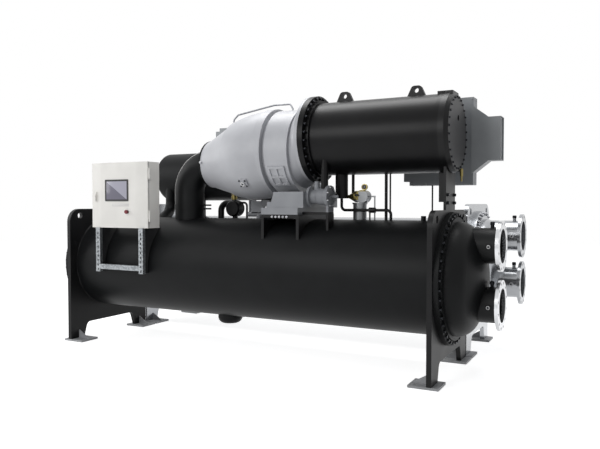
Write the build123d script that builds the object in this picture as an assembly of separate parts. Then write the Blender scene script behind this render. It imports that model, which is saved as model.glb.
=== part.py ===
"""Water-cooled centrifugal water chiller.

Two horizontal shell-and-tube heat exchangers lie side by side on plate feet: the evaporator in
front and the condenser behind it.  Above the evaporator lies the drive line: suction elbow,
compressor, gear casing and a hermetic motor, all on one long axis.  An economiser vessel lies over
the condenser, a control cabinet stands on brackets at the left front, and the water nozzles of both
exchangers point to the right.

Working coordinates: X runs along the shells with 0 midway between the tube plates, Y runs from
front to back with 0 on the evaporator axis, and Z is height above the floor.  At the end all pieces
are moved together so that the origin is the middle of the footprint, on the floor.
"""

import os
from math import asin, cos, pi, radians, sin

from build123d import *

# Tube plates, which are also the end frames that the machine stands on
TUBE_LENGTH = 4268.0        # over the outer faces of the tube plates, 14 ft tubes
END_PLATE = 46.0            # thickness of a tube plate
PLATE_BOTTOM = 186.0        # height of the lower edge between the legs
PLATE_CORNER = 150.0        # radius of the two top corners
LIFT_HOLE = 70.0            # diameter of the lifting holes
LIFT_HOLE_DOWN = 78.0       # from the top edge to the hole centre
LIFT_HOLE_IN = 152.0        # from the side edge to the hole centre
LEG_TOP = 250.0             # leg width at the lower edge
LEG_FOOT = 200.0            # leg width on its base plate
LEG_FILLET = 60.0

# Base plates under the legs
BASE_THICK = 22.0
BASE_LONG = 273.0
BASE_WIDE = 243.0
BASE_OUTSIDE = 61.0         # how far a base plate runs past the outer face of its tube plate
ANCHOR_HOLE = 26.0
ANCHOR_INSET = 52.0
GUSSET = 12.0
GUSSET_HIGH = 92.0
GUSSET_SETBACK = 14.0

# Evaporator
EVAP_Z = 889.0
EVAP_R = 535.0              # outside of the insulation
EVAP_WALL = 38.0            # steel and insulation together
EVAP_PLATE_HALF = 632.0
EVAP_PLATE_TOP = 1524.0
EVAP_RING_R = 617.0
EVAP_NOZZLE_UP = 314.0      # upper nozzle above the shell axis
EVAP_NOZZLE_DOWN = 221.0    # lower nozzle below the shell axis
SERVICE_STUB_X = 1872.0     # capped stub on top of the shell
SERVICE_STUB_R = 24.0
SERVICE_STUB_HIGH = 42.0

# Condenser
COND_Y = 1213.0
COND_Z = 991.0
COND_R = 430.0
COND_WALL = 12.0
COND_PLATE_HALF = 552.0
COND_PLATE_TOP = 1580.0
COND_RING_R = 512.0
COND_NOZZLE = 250.0         # nozzles above and below the shell axis

# Water boxes and nozzles, DN 300 PN 16
RING_THICK = 46.0
HUB_LONG = 20.0             # low hub between the bolting ring and the head
HUB_STEP = 40.0
HEAD_STRAIGHT = 30.0
HEAD_WALL = 14.0
HEAD_INSET = 7.0            # the head stands this far inside the shell's outside
CROWN_SHARE = 1.8           # crown radius over head radius, for a 2:1 head
KNUCKLE_SHARE = 0.34        # knuckle radius over head radius
NOZZLE_R = 162.0
NOZZLE_WALL = 8.0
NOZZLE_END = 467.0          # flange face beyond the tube plate's outer face
FLANGE_R = 230.0
FLANGE_THICK = 30.0
FLANGE_PCD = 410.0
FLANGE_BOLTS = 12
FLANGE_HOLE = 26.0
BOSS_R = 17.0
BOSS_LONG = 26.0
BOSS_FROM_FACE = 92.0

# Compressor: centre height and radius of its round sections along the drive line
INLET_X, INLET_Z, INLET_R = -529.0, 2021.0, 250.0
INLET_RIM = 20.0
INLET_RIM_STEP = 8.0
THROAT_X, THROAT_Z, THROAT_R = -181.0, 2064.0, 394.0
THROAT_STEP = 12.0          # the scroll starts this much larger than the cone ends
SCROLL_X, SCROLL_Z, SCROLL_R = 90.0, 2088.0, 458.0
SCROLL_END_STEP = 12.0
SCROLL_BAND = 90.0          # raised band at the scroll's joint
SCROLL_BAND_STEP = 22.0
GEAR_LEFT = 366.0
GEAR_RIGHT = 626.0
GEAR_Z = 2120.0
GEAR_R = 430.0
GROOVE_LONG = 40.0
GROOVE_DEEP = 34.0
FLARE_STEP = 36.0           # the flare starts this much smaller than the drum
FLARE_RISE = 16.0
CASE_FLANGE = 32.0
CASE_FLANGE_EDGE = 12.0
PORT_TURN = 39.0            # degrees below the front
PORT_PAD = 92.0
PORT_PAD_ROUND = 14.0
PORT_SINK = 40.0
PORT_HIGH = 16.0
PORT_R = 26.0
PORT_BORE_R = 9.0
PANEL_LEFT, PANEL_RIGHT = 392.0, 584.0
PANEL_START, PANEL_TURN = 23.0, 30.0
PANEL_HIGH = 16.0
PANEL_FLOOR = 3.0           # the windows' floors stand this far over the drum
PANEL_BAR = 26.0            # width of the bars between the windows
PANEL_BAR_TURN = 3.0
ACTUATOR_LEFT, ACTUATOR_LONG = -505.0, 105.0
ACTUATOR_Y, ACTUATOR_HALF = 60.0, 55.0
ACTUATOR_TOP = 2385.0
ACTUATOR_STEP, ACTUATOR_RISE = 50.0, 35.0

# Motor
MOTOR_Z = 2234.0
MOTOR_R = 364.0
MOTOR_LEFT = 742.0
MOTOR_RIGHT = 2188.0
MOTOR_FLANGE_R = 437.0
MOTOR_FLANGE = 58.0
MOTOR_HUB_STEP = 22.0
MOTOR_HUB = 40.0
BELL_R = 370.0
BELL_LONG = 36.0
COVER_THICK = 92.0
COVER_FACE_R = 348.0
COVER_BEVEL = 38.0
PLUG_Y, PLUG_UP, PLUG_R, PLUG_DEEP = 20.0, 138.0, 27.0, 14.0
PAD_LEFT, PAD_RIGHT = 2026.0, 2168.0
PAD_HALF = 105.0
PAD_HIGH = 378.0            # top of the pad above the motor's axis
DRAIN_VALVE_Y, DRAIN_VALVE_DOWN = 110.0, 339.0
DRAIN_VALVE_R, DRAIN_VALVE_OUT = 15.0, 12.0
DRAIN_VALVE_LONG, DRAIN_TIP_LONG = 58.0, 46.0
LUG_THICK = 40.0
LUG_HIGH = 98.0
LUG_LONG = 195.0
LUG_CROWN = 84.0
LUG_ROUND = 36.0
LUG_SINK = 20.0
LUG_HOLE = 46.0
LUG_HOLE_DOWN = 44.0
LUG_AT = (1066.0, 1800.0)
POST_WIDE = 331.0
POST_MIDDLE_Y = -24.0
POST_PLATE = 24.0
POST_RIB_LONG = 84.0
POST_RIB_LOW = 1598.0

# Suction pipe from the evaporator to the compressor inlet
SUCTION_R = 165.0
SUCTION_X = -866.0
SUCTION_STRAIGHT = 5.0
INLET_FLANGE = 24.0
INLET_FLANGE_R = 258.0
COLLAR_R = 171.0
COLLAR_Z = 1547.0
COLLAR_LONG = 60.0
PROBE_R = 9.0
PROBE_LONG = 128.0
PROBE_APART = 40.0

# Saddle, pedestal and oil pump under the compressor
SADDLE_LEFT = 330.0
SADDLE_RIGHT = 754.0
SADDLE_HALF = 413.0
SADDLE_PLATE = 32.0
SADDLE_WEB = 30.0
SADDLE_TOP = 1476.0
FOOT_FLANGE = 66.0
FOOT_INSET = 12.0
FOOT_SIDE = 10.0
FOOT_LEFT, FOOT_RIGHT = 392.0, 798.0
FOOT_STEP_X, FOOT_STEP_Z = 440.0, 1600.0
FOOT_SHOULDER, FOOT_TOP = 470.0, 1700.0
PUMP_Y, PUMP_Z, PUMP_R = -250.0, 1652.0, 84.0
PUMP_RIGHT = 1024.0
PUMP_FLANGE, PUMP_FLANGE_R = 26.0, 104.0
PUMP_NECK, PUMP_NECK_R = 60.0, 72.0
PUMP_DISC_R = 108.0
PUMP_DISC = 32.0
PUMP_FLARE = 18.0
PUMP_RECESS_R, PUMP_RECESS = 84.0, 8.0
PUMP_SHAFT_R, PUMP_SHAFT = 14.0, 76.0
PUMP_BOSS_X, PUMP_BOSS_TOP = 875.0, 1801.0
PUMP_BOSS_R, PUMP_BOSS_TIP_R = 36.0, 24.0
PUMP_SHELF = 24.0
PUMP_LEG, PUMP_LEG_HALF = 24.0, 62.0
PUMP_PIPE_X, PUMP_PIPE_R = 955.0, 36.0

# Discharge pipe from the scroll to the condenser, behind the compressor
DISCHARGE_R = 137.0
DISCHARGE_X = 150.0
DISCHARGE_Z = 1980.0
DISCHARGE_BEND = 320.0
DISCHARGE_FLANGE_R = 200.0
DISCHARGE_FLANGE_Y = 620.0

# Motor terminal box behind the motor, with its cable duct and conduit
BOX_FRONT = 450.0
BOX_DEEP = 160.0
BOX_LEFT = 1589.0
BOX_RIGHT = 2233.0
BOX_LOW = 1768.0
BOX_HIGH = 2626.0
BOX_STEP_LONG = 60.0
BOX_STEP_HIGH = 40.0
DUCT_FOOT = 2214.0
DUCT_PROUD = 12.0           # the duct's front stands this far before the box
DUCT_FOOT_LOW, DUCT_FOOT_HIGH = 1874.0, 2547.0
DUCT_LEFT = 2378.0
DUCT_RIGHT = 2496.0
DUCT_LOW = 2002.0
DUCT_HIGH = 2424.0
DUCT_WALL = 8.0
DUCT_RECESS = 14.0
TERMINAL_NECK_R = 190.0
CONDUIT_X, CONDUIT_Y, CONDUIT_R = 1807.0, 530.0, 8.0
CONDUIT_LOW, CONDUIT_BEND = 1100.0, 60.0

# Economiser over the condenser
ECO_Z = 1950.0
ECO_R = 322.0
ECO_LEFT = -2140.0
ECO_RIGHT = -110.0
ECO_ROUND = 60.0
ECO_SADDLES = (-1700.0, -520.0)
ECO_SADDLE_THICK = 20.0
ECO_SADDLE_HALF = 207.0
ECO_PIPE_X, ECO_PIPE_Y, ECO_PIPE_R = -1950.0, 1000.0, 68.0
ECO_PIPE_TURN_Z, ECO_PIPE_BEND = 1490.0, 180.0
ECO_PIPE_END = (-1700.0, 200.0, 1190.0)
ECO_DROP_X, ECO_DROP_R = -1403.0, 28.0

# Valve and pipe between the suction riser and the saddle
BYPASS_Y, BYPASS_X, BYPASS_R = 300.0, -641.0, 36.0
BYPASS_TOP, BYPASS_BEND = 1589.0, 90.0
BYPASS_VALVE_X, BYPASS_VALVE_Z, BYPASS_VALVE_R = -446.0, 1530.0, 92.0
BYPASS_VALVE_HALF, BYPASS_VALVE_RIM = 70.0, 14.0
BYPASS_NECK_R = 30.0
BONNET_X, BONNET_R, BONNET_TOP = -459.0, 28.0, 1707.0
BONNET_NUT, BONNET_NUT_R = 34.0, 36.0
HOOK_X, HOOK_R, HOOK_TOP, HOOK_BEND = -286.0, 12.0, 1596.0, 40.0

# Oil cooler beside the saddle
COOLER_LEFT, COOLER_RIGHT = -218.0, -34.0
COOLER_LOW, COOLER_HIGH = 1490.0, 1614.0
COOLER_HALF = 60.0
COOLER_RIM, COOLER_RIM_STEP = 16.0, 10.0
COOLER_TUBE_LEFT, COOLER_TUBE_RIGHT = -262.0, -86.0
COOLER_TUBE_R, COOLER_TUBE_Z = 28.0, 1464.0

# Small pipes and valves
DRAIN_X, DRAIN_R, DRAIN_LOW = 1028.0, 63.0, 1636.0
LINE_R = 14.0
LINE_Z = 1519.0
LINE_RIGHT = 1548.0
LINE_BEND = 42.0
LINE_VALVE_X, LINE_VALVE_R, LINE_VALVE_HALF = 1356.0, 27.0, 32.0
LINE_LEG_X, LINE_LEG_R = 1330.0, 8.0
TUBE_A_X, TUBE_A_R = 1499.0, 15.0
TUBE_B_X, TUBE_B_R = 1541.0, 8.0
TUBE_C_X, TUBE_C_R = 1112.0, 15.0
STRAINER_X, STRAINER_Y, STRAINER_R = 1186.0, 96.0, 68.0
STRAINER_TOP = 1594.0
STRAINER_RIM, STRAINER_RIM_STEP = 16.0, 8.0
CAP_X, CAP_Z, CAP_R, CAP_HALF = 1224.0, 1655.0, 64.0, 58.0
BRASS_LEFT, BRASS_R, BRASS_SMALL_R, BRASS_CONE = 1070.0, 58.0, 18.0, 70.0
GAUGE_X, GAUGE_Z, GAUGE_R, GAUGE_DEEP, GAUGE_STEM_R = 1237.0, 1750.0, 30.0, 26.0, 9.0
DROP_X, DROP_R = 1345.0, 7.0
SUMP_X, SUMP_R, SUMP_LOW = -317.0, 133.0, 267.0
LIQUID_R, LIQUID_Z, LIQUID_BEND = 36.0, 316.0, 180.0
OIL_TUBE_R = 9.0
OIL_TUBE_LEFT, OIL_TUBE_RIGHT = -262.0, 470.0
OIL_TUBE_ROUTE = ((-262.0, 2500.0), (-205.0, 2550.0), (250.0, 2624.0), (440.0, 2622.0), (470.0, 2575.0))
OIL_TUBE_BENDS = (36.0, 40.0, 200.0, 30.0, 20.0)

# Control cabinet
CAB_LEFT = -1752.0
CAB_WIDE = 799.0
CAB_LOW = 1320.0
CAB_TALL = 713.0
CAB_BACK = -428.0
DOOR_FRONT = -628.0
SHEET = 3.0
DOOR_DEEP = 28.0
DOOR_BEVEL = 12.0
DOOR_BEVEL_WIDE = 145.0
DOOR_GAP = 5.0
HINGE_PIN_R = 5.0
HINGE_BARREL_R = 10.0
HINGE_LONG = 60.0
HINGE_PLAY = 0.05
HINGE_END_PLAY = 0.4
HINGE_FROM_END = 130.0
HINGE_LEAF, HINGE_DOOR_LEAF = 30.0, 8.0
HINGE_STANDOFF = 0.6        # from the cabinet's side to the hinge barrels
BACK_PLATE = 3.0
BACK_PLATE_EDGE = 45.0      # margin of the mounting plate inside the cabinet
BACK_PLATE_STUD = 22.0
STUD_R = 7.0
RAIL_WIDE, RAIL_DEEP = 35.0, 7.5
RAIL_COUNT = 3
RAIL_MARGIN = 60.0
SCREEN_FROM_LEFT, SCREEN_FROM_LOW = 207.0, 290.0
SCREEN_WIDE, SCREEN_TALL = 334.0, 237.0
SCREEN_PROUD, SCREEN_ROUND = 6.0, 8.0
SCREEN_FRAME, SCREEN_EDGE = 20.0, 12.0
SCREEN_DEEP = 20.0
GLASS_SINK = 3.0
STOP_FROM_LEFT, STOP_FROM_LOW = 524.0, 175.0
STOP_COLLAR_R, STOP_COLLAR = 20.0, 4.0
STOP_NECK_R = 11.0
STOP_BLOCK = 20.0
STOP_BLOCK_BACK = 26.0
STOP_STEM_R, STOP_STEM_PLAY = 7.0, 0.05
STOP_STEM_IN, STOP_WELL = 4.0, 14.0
STOP_HEAD_R, STOP_HEAD_FRONT, STOP_HEAD_BACK, STOP_HEAD_ROUND = 21.0, 32.0, 14.0, 9.0
LOCK_FROM_LEFT, LOCK_FROM_LOW = 66.0, 339.0
LOCK_HALF, LOCK_TALL, LOCK_PROUD, LOCK_BACK = 12.0, 110.0, 4.0, 24.0
LOCK_HOLE_R = 11.0
HANDLE_HALF, HANDLE_TALL, HANDLE_PROUD = 6.0, 72.0, 14.0
STRUT_WIDE = 60.0
STRUT_DEEP = 41.0
STRUT_WALL = 4.0
STRUT_FRONT = -640.0
STRUT_LOW = 830.0
STRUT_SPAN = 616.0          # between strut centres
STRUT_FROM_LEFT = 101.0     # centre of the left strut from the cabinet's side
STRUT_BAR_UP, STRUT_BAR = 30.0, 54.0
SLOT_LONG, SLOT_WIDE, SLOT_PITCH = 28.0, 14.0, 50.0
BRACKET_THICK = 12.0
BRACKET_FRONT = -599.0
BRACKET_BACK = -300.0

HALF = TUBE_LENGTH / 2
INNER = HALF - END_PLATE
EVAP_TOP = EVAP_Z + EVAP_R
COVER_LEFT = MOTOR_RIGHT - COVER_THICK
CAB_RIGHT = CAB_LEFT + CAB_WIDE
CAB_HIGH = CAB_LOW + CAB_TALL
DOOR_BACK = DOOR_FRONT + DOOR_DEEP
HINGE_X = CAB_RIGHT + HINGE_BARREL_R + HINGE_STANDOFF
HINGE_AT = (CAB_LOW + HINGE_FROM_END, CAB_HIGH - HINGE_FROM_END)
SCREEN_LEFT, SCREEN_LOW = CAB_LEFT + SCREEN_FROM_LEFT, CAB_LOW + SCREEN_FROM_LOW
SCREEN_RIGHT, SCREEN_HIGH = SCREEN_LEFT + SCREEN_WIDE, SCREEN_LOW + SCREEN_TALL
STOP_X, STOP_Z = CAB_LEFT + STOP_FROM_LEFT, CAB_LOW + STOP_FROM_LOW
LOCK_X, LOCK_Z = CAB_LEFT + LOCK_FROM_LEFT, CAB_LOW + LOCK_FROM_LOW
STRUT_AT = (CAB_LEFT + STRUT_FROM_LEFT, CAB_LEFT + STRUT_FROM_LEFT + STRUT_SPAN)
nodes = {}


def along_x(x0, x1, y, z, radius):
    """A round bar whose axis runs along X from x0 to x1."""
    return Plane(origin=(x0, y, z), x_dir=(0, 1, 0), z_dir=(1, 0, 0)) * extrude(Circle(radius), x1 - x0)


def along_y(x, y0, y1, z, radius):
    """A round bar whose axis runs along Y from y0 to y1."""
    return Plane(origin=(x, y0, z), x_dir=(0, 0, 1), z_dir=(0, 1, 0)) * extrude(Circle(radius), y1 - y0)


def along_z(x, y, z0, z1, radius):
    """An upright round bar from z0 to z1."""
    return Plane(origin=(x, y, z0)) * extrude(Circle(radius), z1 - z0)


def block(x0, x1, y0, y1, z0, z1):
    """A square-cornered block between two corners."""
    return Pos((x0 + x1) / 2, (y0 + y1) / 2, (z0 + z1) / 2) * Box(abs(x1 - x0), abs(y1 - y0), abs(z1 - z0))


def plate_along(points, y0, thick):
    """A plate that stands along the shells, from an outline of (x, z) points, running back from y0."""
    outline = make_face(Polyline(*points, close=True))
    return Plane(origin=(0, y0 + thick, 0), x_dir=(1, 0, 0), z_dir=(0, -1, 0)) * extrude(outline, thick)


def turned(profile, y, z):
    """A turned piece whose axis runs along X, from its half section of (x, radius) points."""
    section = make_face(Polyline(*profile, close=True))
    return Pos(0, y, z) * revolve(section, Axis.X)


def swept_pipe(points, bends, radius):
    """A round pipe along straight runs joined by tangent arcs."""
    path = FilletPolyline(*points, radius=bends)
    return sweep(Plane(origin=path @ 0, z_dir=path % 0) * Circle(radius), path)


def ring_across(x0, x1, y, z, outer, inner):
    """A flat ring across the shell axis."""
    return along_x(x0, x1, y, z, outer) - along_x(x0, x1, y, z, inner)


def circle_at(x, z, radius):
    """A circle across the drive line, for lofting."""
    return Plane(origin=(x, 0, z), x_dir=(0, 1, 0), z_dir=(1, 0, 0)) * Circle(radius)


# Heat exchangers
def tube_plate(axis_y, half, top, side):
    """End frame of one exchanger: the tube plate with its two legs and lifting holes."""
    leg_top, leg_foot = half - LEG_TOP, half - LEG_FOOT
    points = [(-half, BASE_THICK), (-leg_foot, BASE_THICK), (-leg_top, PLATE_BOTTOM),
              (leg_top, PLATE_BOTTOM), (leg_foot, BASE_THICK), (half, BASE_THICK), (half, top), (-half, top)]
    outline = make_face(Polyline(*[(axis_y + y, z) for y, z in points], close=True))
    outline = fillet(outline.vertices().sort_by(Axis.Y)[-2:], PLATE_CORNER)
    outline = fillet([v for v in outline.vertices() if abs(v.Y - PLATE_BOTTOM) < 1], LEG_FILLET)
    for y in (-half + LIFT_HOLE_IN, half - LIFT_HOLE_IN):
        outline -= Pos(axis_y + y, top - LIFT_HOLE_DOWN) * Circle(LIFT_HOLE / 2)
    x0 = INNER if side > 0 else -HALF
    return Plane(origin=(x0, 0, 0), x_dir=(0, 1, 0), z_dir=(1, 0, 0)) * extrude(outline, END_PLATE)


def leg_feet(axis_y, half, side):
    """Base plates with their gussets under the two legs of one tube plate."""
    feet = []
    for hand in (-1, 1):
        outer = axis_y + hand * half
        y0, y1 = sorted((outer, outer - hand * BASE_WIDE))
        x_out = side * (HALF + BASE_OUTSIDE)
        x_in = x_out - side * BASE_LONG
        foot = block(x_in, x_out, y0, y1, 0, BASE_THICK)
        for y in (y0 + ANCHOR_INSET, y1 - ANCHOR_INSET):
            foot -= along_z(x_in + side * ANCHOR_INSET, y, 0, BASE_THICK, ANCHOR_HOLE / 2)
        tip = x_in + side * GUSSET_SETBACK
        web = [(side * INNER, BASE_THICK), (side * INNER, BASE_THICK + GUSSET_HIGH), (tip, BASE_THICK)]
        foot += plate_along(web, (y0 + y1) / 2 - GUSSET / 2, GUSSET)
        feet += foot.solids()
    return Compound(feet)


def head_rise(radius):
    """Depth of a dished head over its straight skirt."""
    crown, knuckle = CROWN_SHARE * radius, KNUCKLE_SHARE * radius
    spread = asin((radius - knuckle) / (crown - knuckle))
    return crown - (crown - knuckle) * cos(spread)


def head_section(radius, inset):
    """Half section of the head's inside or outside, as a face in X and Z over its axis."""
    crown, knuckle = CROWN_SHARE * radius - inset, KNUCKLE_SHARE * radius - inset
    outer = radius - inset
    spread = asin((outer - knuckle) / (crown - knuckle))
    tip = HEAD_STRAIGHT + head_rise(radius) - inset
    centre = tip - crown
    join = (centre + crown * cos(spread), crown * sin(spread))
    turn = (spread + pi / 2) / 2
    knee = (HEAD_STRAIGHT + knuckle * cos(turn), outer - knuckle + knuckle * sin(turn))
    cap = (centre + crown * cos(spread / 2), crown * sin(spread / 2))
    edges = [Line((0, 0), (0, outer)), Line((0, outer), (HEAD_STRAIGHT, outer)),
             ThreePointArc((HEAD_STRAIGHT, outer), knee, join), ThreePointArc(join, cap, (tip, 0)),
             Line((tip, 0), (0, 0))]
    return make_face(edges)


def head_solid(axis_y, axis_z, radius, inset, x_rim, side):
    """A full dished head, solid, opening towards the tube plate."""
    solid = revolve(head_section(radius, inset), Axis.X)
    if side < 0:
        solid = mirror(solid, Plane.YZ)
    return Pos(x_rim, axis_y, axis_z) * (Rot(90, 0, 0) * solid)


def water_box(axis_y, axis_z, shell_r, ring_r, side, rises):
    """Cover of one exchanger end: bolting ring, hub and dished head as one weldment."""
    head_r = shell_r - HEAD_INSET
    x_rim = side * (HALF + RING_THICK)
    box = along_x(*sorted((side * HALF, x_rim)), axis_y, axis_z, ring_r)
    box += along_x(*sorted((x_rim, x_rim + side * HUB_LONG)), axis_y, axis_z, head_r + HUB_STEP)
    box += head_solid(axis_y, axis_z, head_r, 0, x_rim, side)
    box -= head_solid(axis_y, axis_z, head_r, HEAD_WALL, x_rim, side)
    box -= along_x(*sorted((side * HALF, x_rim)), axis_y, axis_z, head_r - HEAD_WALL)
    for rise in rises:
        box -= along_x(x_rim, HALF + NOZZLE_END, axis_y, axis_z + rise, NOZZLE_R - NOZZLE_WALL)
    return box


def nozzle(name, axis_y, axis_z, rise):
    """Water nozzle set on the dished head, with its bolted flange and instrument bosses."""
    x_rim, x_end = HALF + RING_THICK, HALF + NOZZLE_END
    z = axis_z + rise
    pipe = along_x(x_rim, x_end, axis_y, z, NOZZLE_R)
    pipe += along_x(x_end - FLANGE_THICK, x_end, axis_y, z, FLANGE_R)
    x_boss = x_end - BOSS_FROM_FACE
    pipe += along_y(x_boss, axis_y - NOZZLE_R - BOSS_LONG, axis_y, z, BOSS_R)
    pipe += along_z(x_boss, axis_y, z, z + NOZZLE_R + BOSS_LONG, BOSS_R)
    pipe -= along_x(x_rim, x_end, axis_y, z, NOZZLE_R - NOZZLE_WALL)
    for n in range(FLANGE_BOLTS):
        turn = radians(360 / FLANGE_BOLTS * (n + 0.5))
        pipe -= along_x(x_end - FLANGE_THICK, x_end, axis_y + FLANGE_PCD / 2 * cos(turn),
                        z + FLANGE_PCD / 2 * sin(turn), FLANGE_HOLE / 2)
    return (pipe - head_outside[name] - hub_outside[name]).solids().sort_by(Axis.X)[-1]


def exchanger(name, axis_y, axis_z, radius, wall, half, top, ring_r, rises):
    """All pieces of one shell-and-tube exchanger."""
    x_rim, head_r = HALF + RING_THICK, radius - HEAD_INSET
    head_outside[name] = head_solid(axis_y, axis_z, head_r, 0, x_rim, 1)
    hub_outside[name] = along_x(x_rim, x_rim + HUB_LONG, axis_y, axis_z, head_r + HUB_STEP)
    nodes[name + "_shell"] = ring_across(-INNER, INNER, axis_y, axis_z, radius, radius - wall)
    for side, hand in ((-1, "left"), (1, "right")):
        nodes[f"{name}_tube_plate_{hand}"] = tube_plate(axis_y, half, top, side)
        nodes[f"{name}_feet_{hand}"] = leg_feet(axis_y, half, side)
        nodes[f"{name}_water_box_{hand}"] = water_box(axis_y, axis_z, radius, ring_r, side,
                                                      rises if side > 0 else ())
    for rise, place in zip(rises, ("upper", "lower")):
        nodes[f"{name}_nozzle_{place}"] = nozzle(name, axis_y, axis_z, rise)


def add_service_stub():
    """Capped stub on top of the evaporator shell."""
    wall_middle = EVAP_TOP - EVAP_WALL / 2
    nodes["evaporator_shell"] += along_z(SERVICE_STUB_X, 0, wall_middle, EVAP_TOP + SERVICE_STUB_HIGH,
                                         SERVICE_STUB_R)


# Compressor and gear casing
def inlet_housing():
    """Cone with the guide vanes, from the rim at the suction flange to the scroll."""
    cone = loft([circle_at(INLET_X, INLET_Z, INLET_R), circle_at(THROAT_X, THROAT_Z, THROAT_R)], ruled=True)
    return cone + along_x(INLET_X, INLET_X + INLET_RIM, 0, INLET_Z, INLET_R + INLET_RIM_STEP)


def casing_port():
    """Square pad with a round port, low on the scroll's front."""
    out = (0, -cos(radians(PORT_TURN)), -sin(radians(PORT_TURN)))
    seat = (SCROLL_X, (SCROLL_R - PORT_SINK) * out[1], SCROLL_Z + (SCROLL_R - PORT_SINK) * out[2])
    plane = Plane(origin=seat, x_dir=(1, 0, 0), z_dir=out)
    pad = extrude(RectangleRounded(PORT_PAD, PORT_PAD, PORT_PAD_ROUND), PORT_SINK + PORT_HIGH)
    boss = extrude(Circle(PORT_R), PORT_SINK + 2 * PORT_HIGH)
    bore = Pos(0, 0, PORT_SINK + PORT_HIGH) * extrude(Circle(PORT_BORE_R), PORT_HIGH)
    return plane * (pad + boss - bore)


def scroll_casing():
    """The scroll, growing and rising to the grooved joint, with its discharge branch at the back."""
    right = GEAR_LEFT - GROOVE_LONG
    start = circle_at(THROAT_X, THROAT_Z, THROAT_R + THROAT_STEP)
    middle, end = circle_at(SCROLL_X, SCROLL_Z, SCROLL_R), circle_at(right, GEAR_Z, GEAR_R + SCROLL_END_STEP)
    body = loft([start, middle, end])
    body += along_x(right - SCROLL_BAND, right, 0, GEAR_Z, GEAR_R + SCROLL_BAND_STEP)
    body += along_x(right, GEAR_LEFT, 0, GEAR_Z, GEAR_R - GROOVE_DEEP)
    branch = along_y(DISCHARGE_X, 0, DISCHARGE_FLANGE_Y, DISCHARGE_Z, DISCHARGE_R)
    branch += along_y(DISCHARGE_X, DISCHARGE_FLANGE_Y - CASE_FLANGE, DISCHARGE_FLANGE_Y, DISCHARGE_Z,
                      DISCHARGE_FLANGE_R)
    return body + branch + casing_port()


def drum_sector(x0, x1, inner, outer, start, turn):
    """Part of a ring round the gear casing, from so many degrees below its front."""
    section = make_face(Polyline((x0, -inner), (x1, -inner), (x1, -outer), (x0, -outer), close=True))
    return Pos(0, 0, GEAR_Z) * (Rot(start, 0, 0) * revolve(section, Axis.X, turn))


def window_panel():
    """Raised panel low on the gear casing's front, with four sunk windows."""
    top = GEAR_R + PANEL_HIGH
    panel = drum_sector(PANEL_LEFT, PANEL_RIGHT, GEAR_R - PANEL_HIGH, top, PANEL_START, PANEL_TURN)
    wide = (PANEL_RIGHT - PANEL_LEFT - 3 * PANEL_BAR) / 2
    turn = (PANEL_TURN - 3 * PANEL_BAR_TURN) / 2
    for column in range(2):
        x0 = PANEL_LEFT + PANEL_BAR + column * (wide + PANEL_BAR)
        for row in range(2):
            start = PANEL_START + PANEL_BAR_TURN + row * (turn + PANEL_BAR_TURN)
            panel -= drum_sector(x0, x0 + wide, GEAR_R + PANEL_FLOOR, top + PANEL_HIGH, start, turn)
    return panel


def gear_casing():
    """The drum between the scroll and the motor, flaring up to the motor flange."""
    flare_end = MOTOR_LEFT - CASE_FLANGE
    drum = along_x(GEAR_LEFT, GEAR_RIGHT, 0, GEAR_Z, GEAR_R)
    flare = loft([circle_at(GEAR_RIGHT, GEAR_Z + FLARE_RISE, GEAR_R - FLARE_STEP),
                  circle_at(flare_end, MOTOR_Z, MOTOR_FLANGE_R - CASE_FLANGE_EDGE)], ruled=True)
    return drum + flare + along_x(flare_end, MOTOR_LEFT, 0, MOTOR_Z, MOTOR_FLANGE_R) + window_panel()


def vane_actuator():
    """Stepped housing of the guide-vane drive, on the cone's top."""
    y0, y1 = ACTUATOR_Y - ACTUATOR_HALF, ACTUATOR_Y + ACTUATOR_HALF
    left, right = ACTUATOR_LEFT, ACTUATOR_LEFT + ACTUATOR_LONG
    step, top = ACTUATOR_STEP, ACTUATOR_TOP
    housing = block(left, right, y0, y1, INLET_Z, top)
    housing += block(left + step, right + step, y0, y1, INLET_Z, top + ACTUATOR_RISE)
    return housing - nodes["inlet_housing"]


def suction_elbow():
    """Long bend from the riser into the compressor inlet, with its flange."""
    face = INLET_X - INLET_FLANGE
    bend = face - SUCTION_X
    points = [(SUCTION_X, 0, INLET_Z - bend), (SUCTION_X, 0, INLET_Z), (face, 0, INLET_Z)]
    elbow = swept_pipe(points, bend - SUCTION_STRAIGHT, SUCTION_R)
    return elbow + along_x(face, INLET_X, 0, INLET_Z, INLET_FLANGE_R)


def suction_riser():
    """Upright suction pipe welded into the top of the evaporator, with its collar and two probes."""
    top = INLET_Z - (INLET_X - INLET_FLANGE - SUCTION_X)
    pipe = along_z(SUCTION_X, 0, EVAP_Z, top, SUCTION_R)
    pipe += along_z(SUCTION_X, 0, COLLAR_Z - COLLAR_LONG / 2, COLLAR_Z + COLLAR_LONG / 2, COLLAR_R)
    for z in (COLLAR_Z - PROBE_APART / 2, COLLAR_Z + PROBE_APART / 2):
        pipe += along_x(SUCTION_X, SUCTION_X + SUCTION_R + PROBE_LONG, 0, z, PROBE_R)
    return pipe - evap_outside


def discharge_pipe():
    """Hot gas pipe from the scroll's branch, back and down into the condenser."""
    points = [(DISCHARGE_X, DISCHARGE_FLANGE_Y, DISCHARGE_Z), (DISCHARGE_X, COND_Y, DISCHARGE_Z),
              (DISCHARGE_X, COND_Y, COND_Z)]
    pipe = swept_pipe(points, DISCHARGE_BEND, DISCHARGE_R)
    pipe += along_y(DISCHARGE_X, DISCHARGE_FLANGE_Y, DISCHARGE_FLANGE_Y + CASE_FLANGE, DISCHARGE_Z,
                    DISCHARGE_FLANGE_R)
    return pipe - cond_outside


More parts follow.
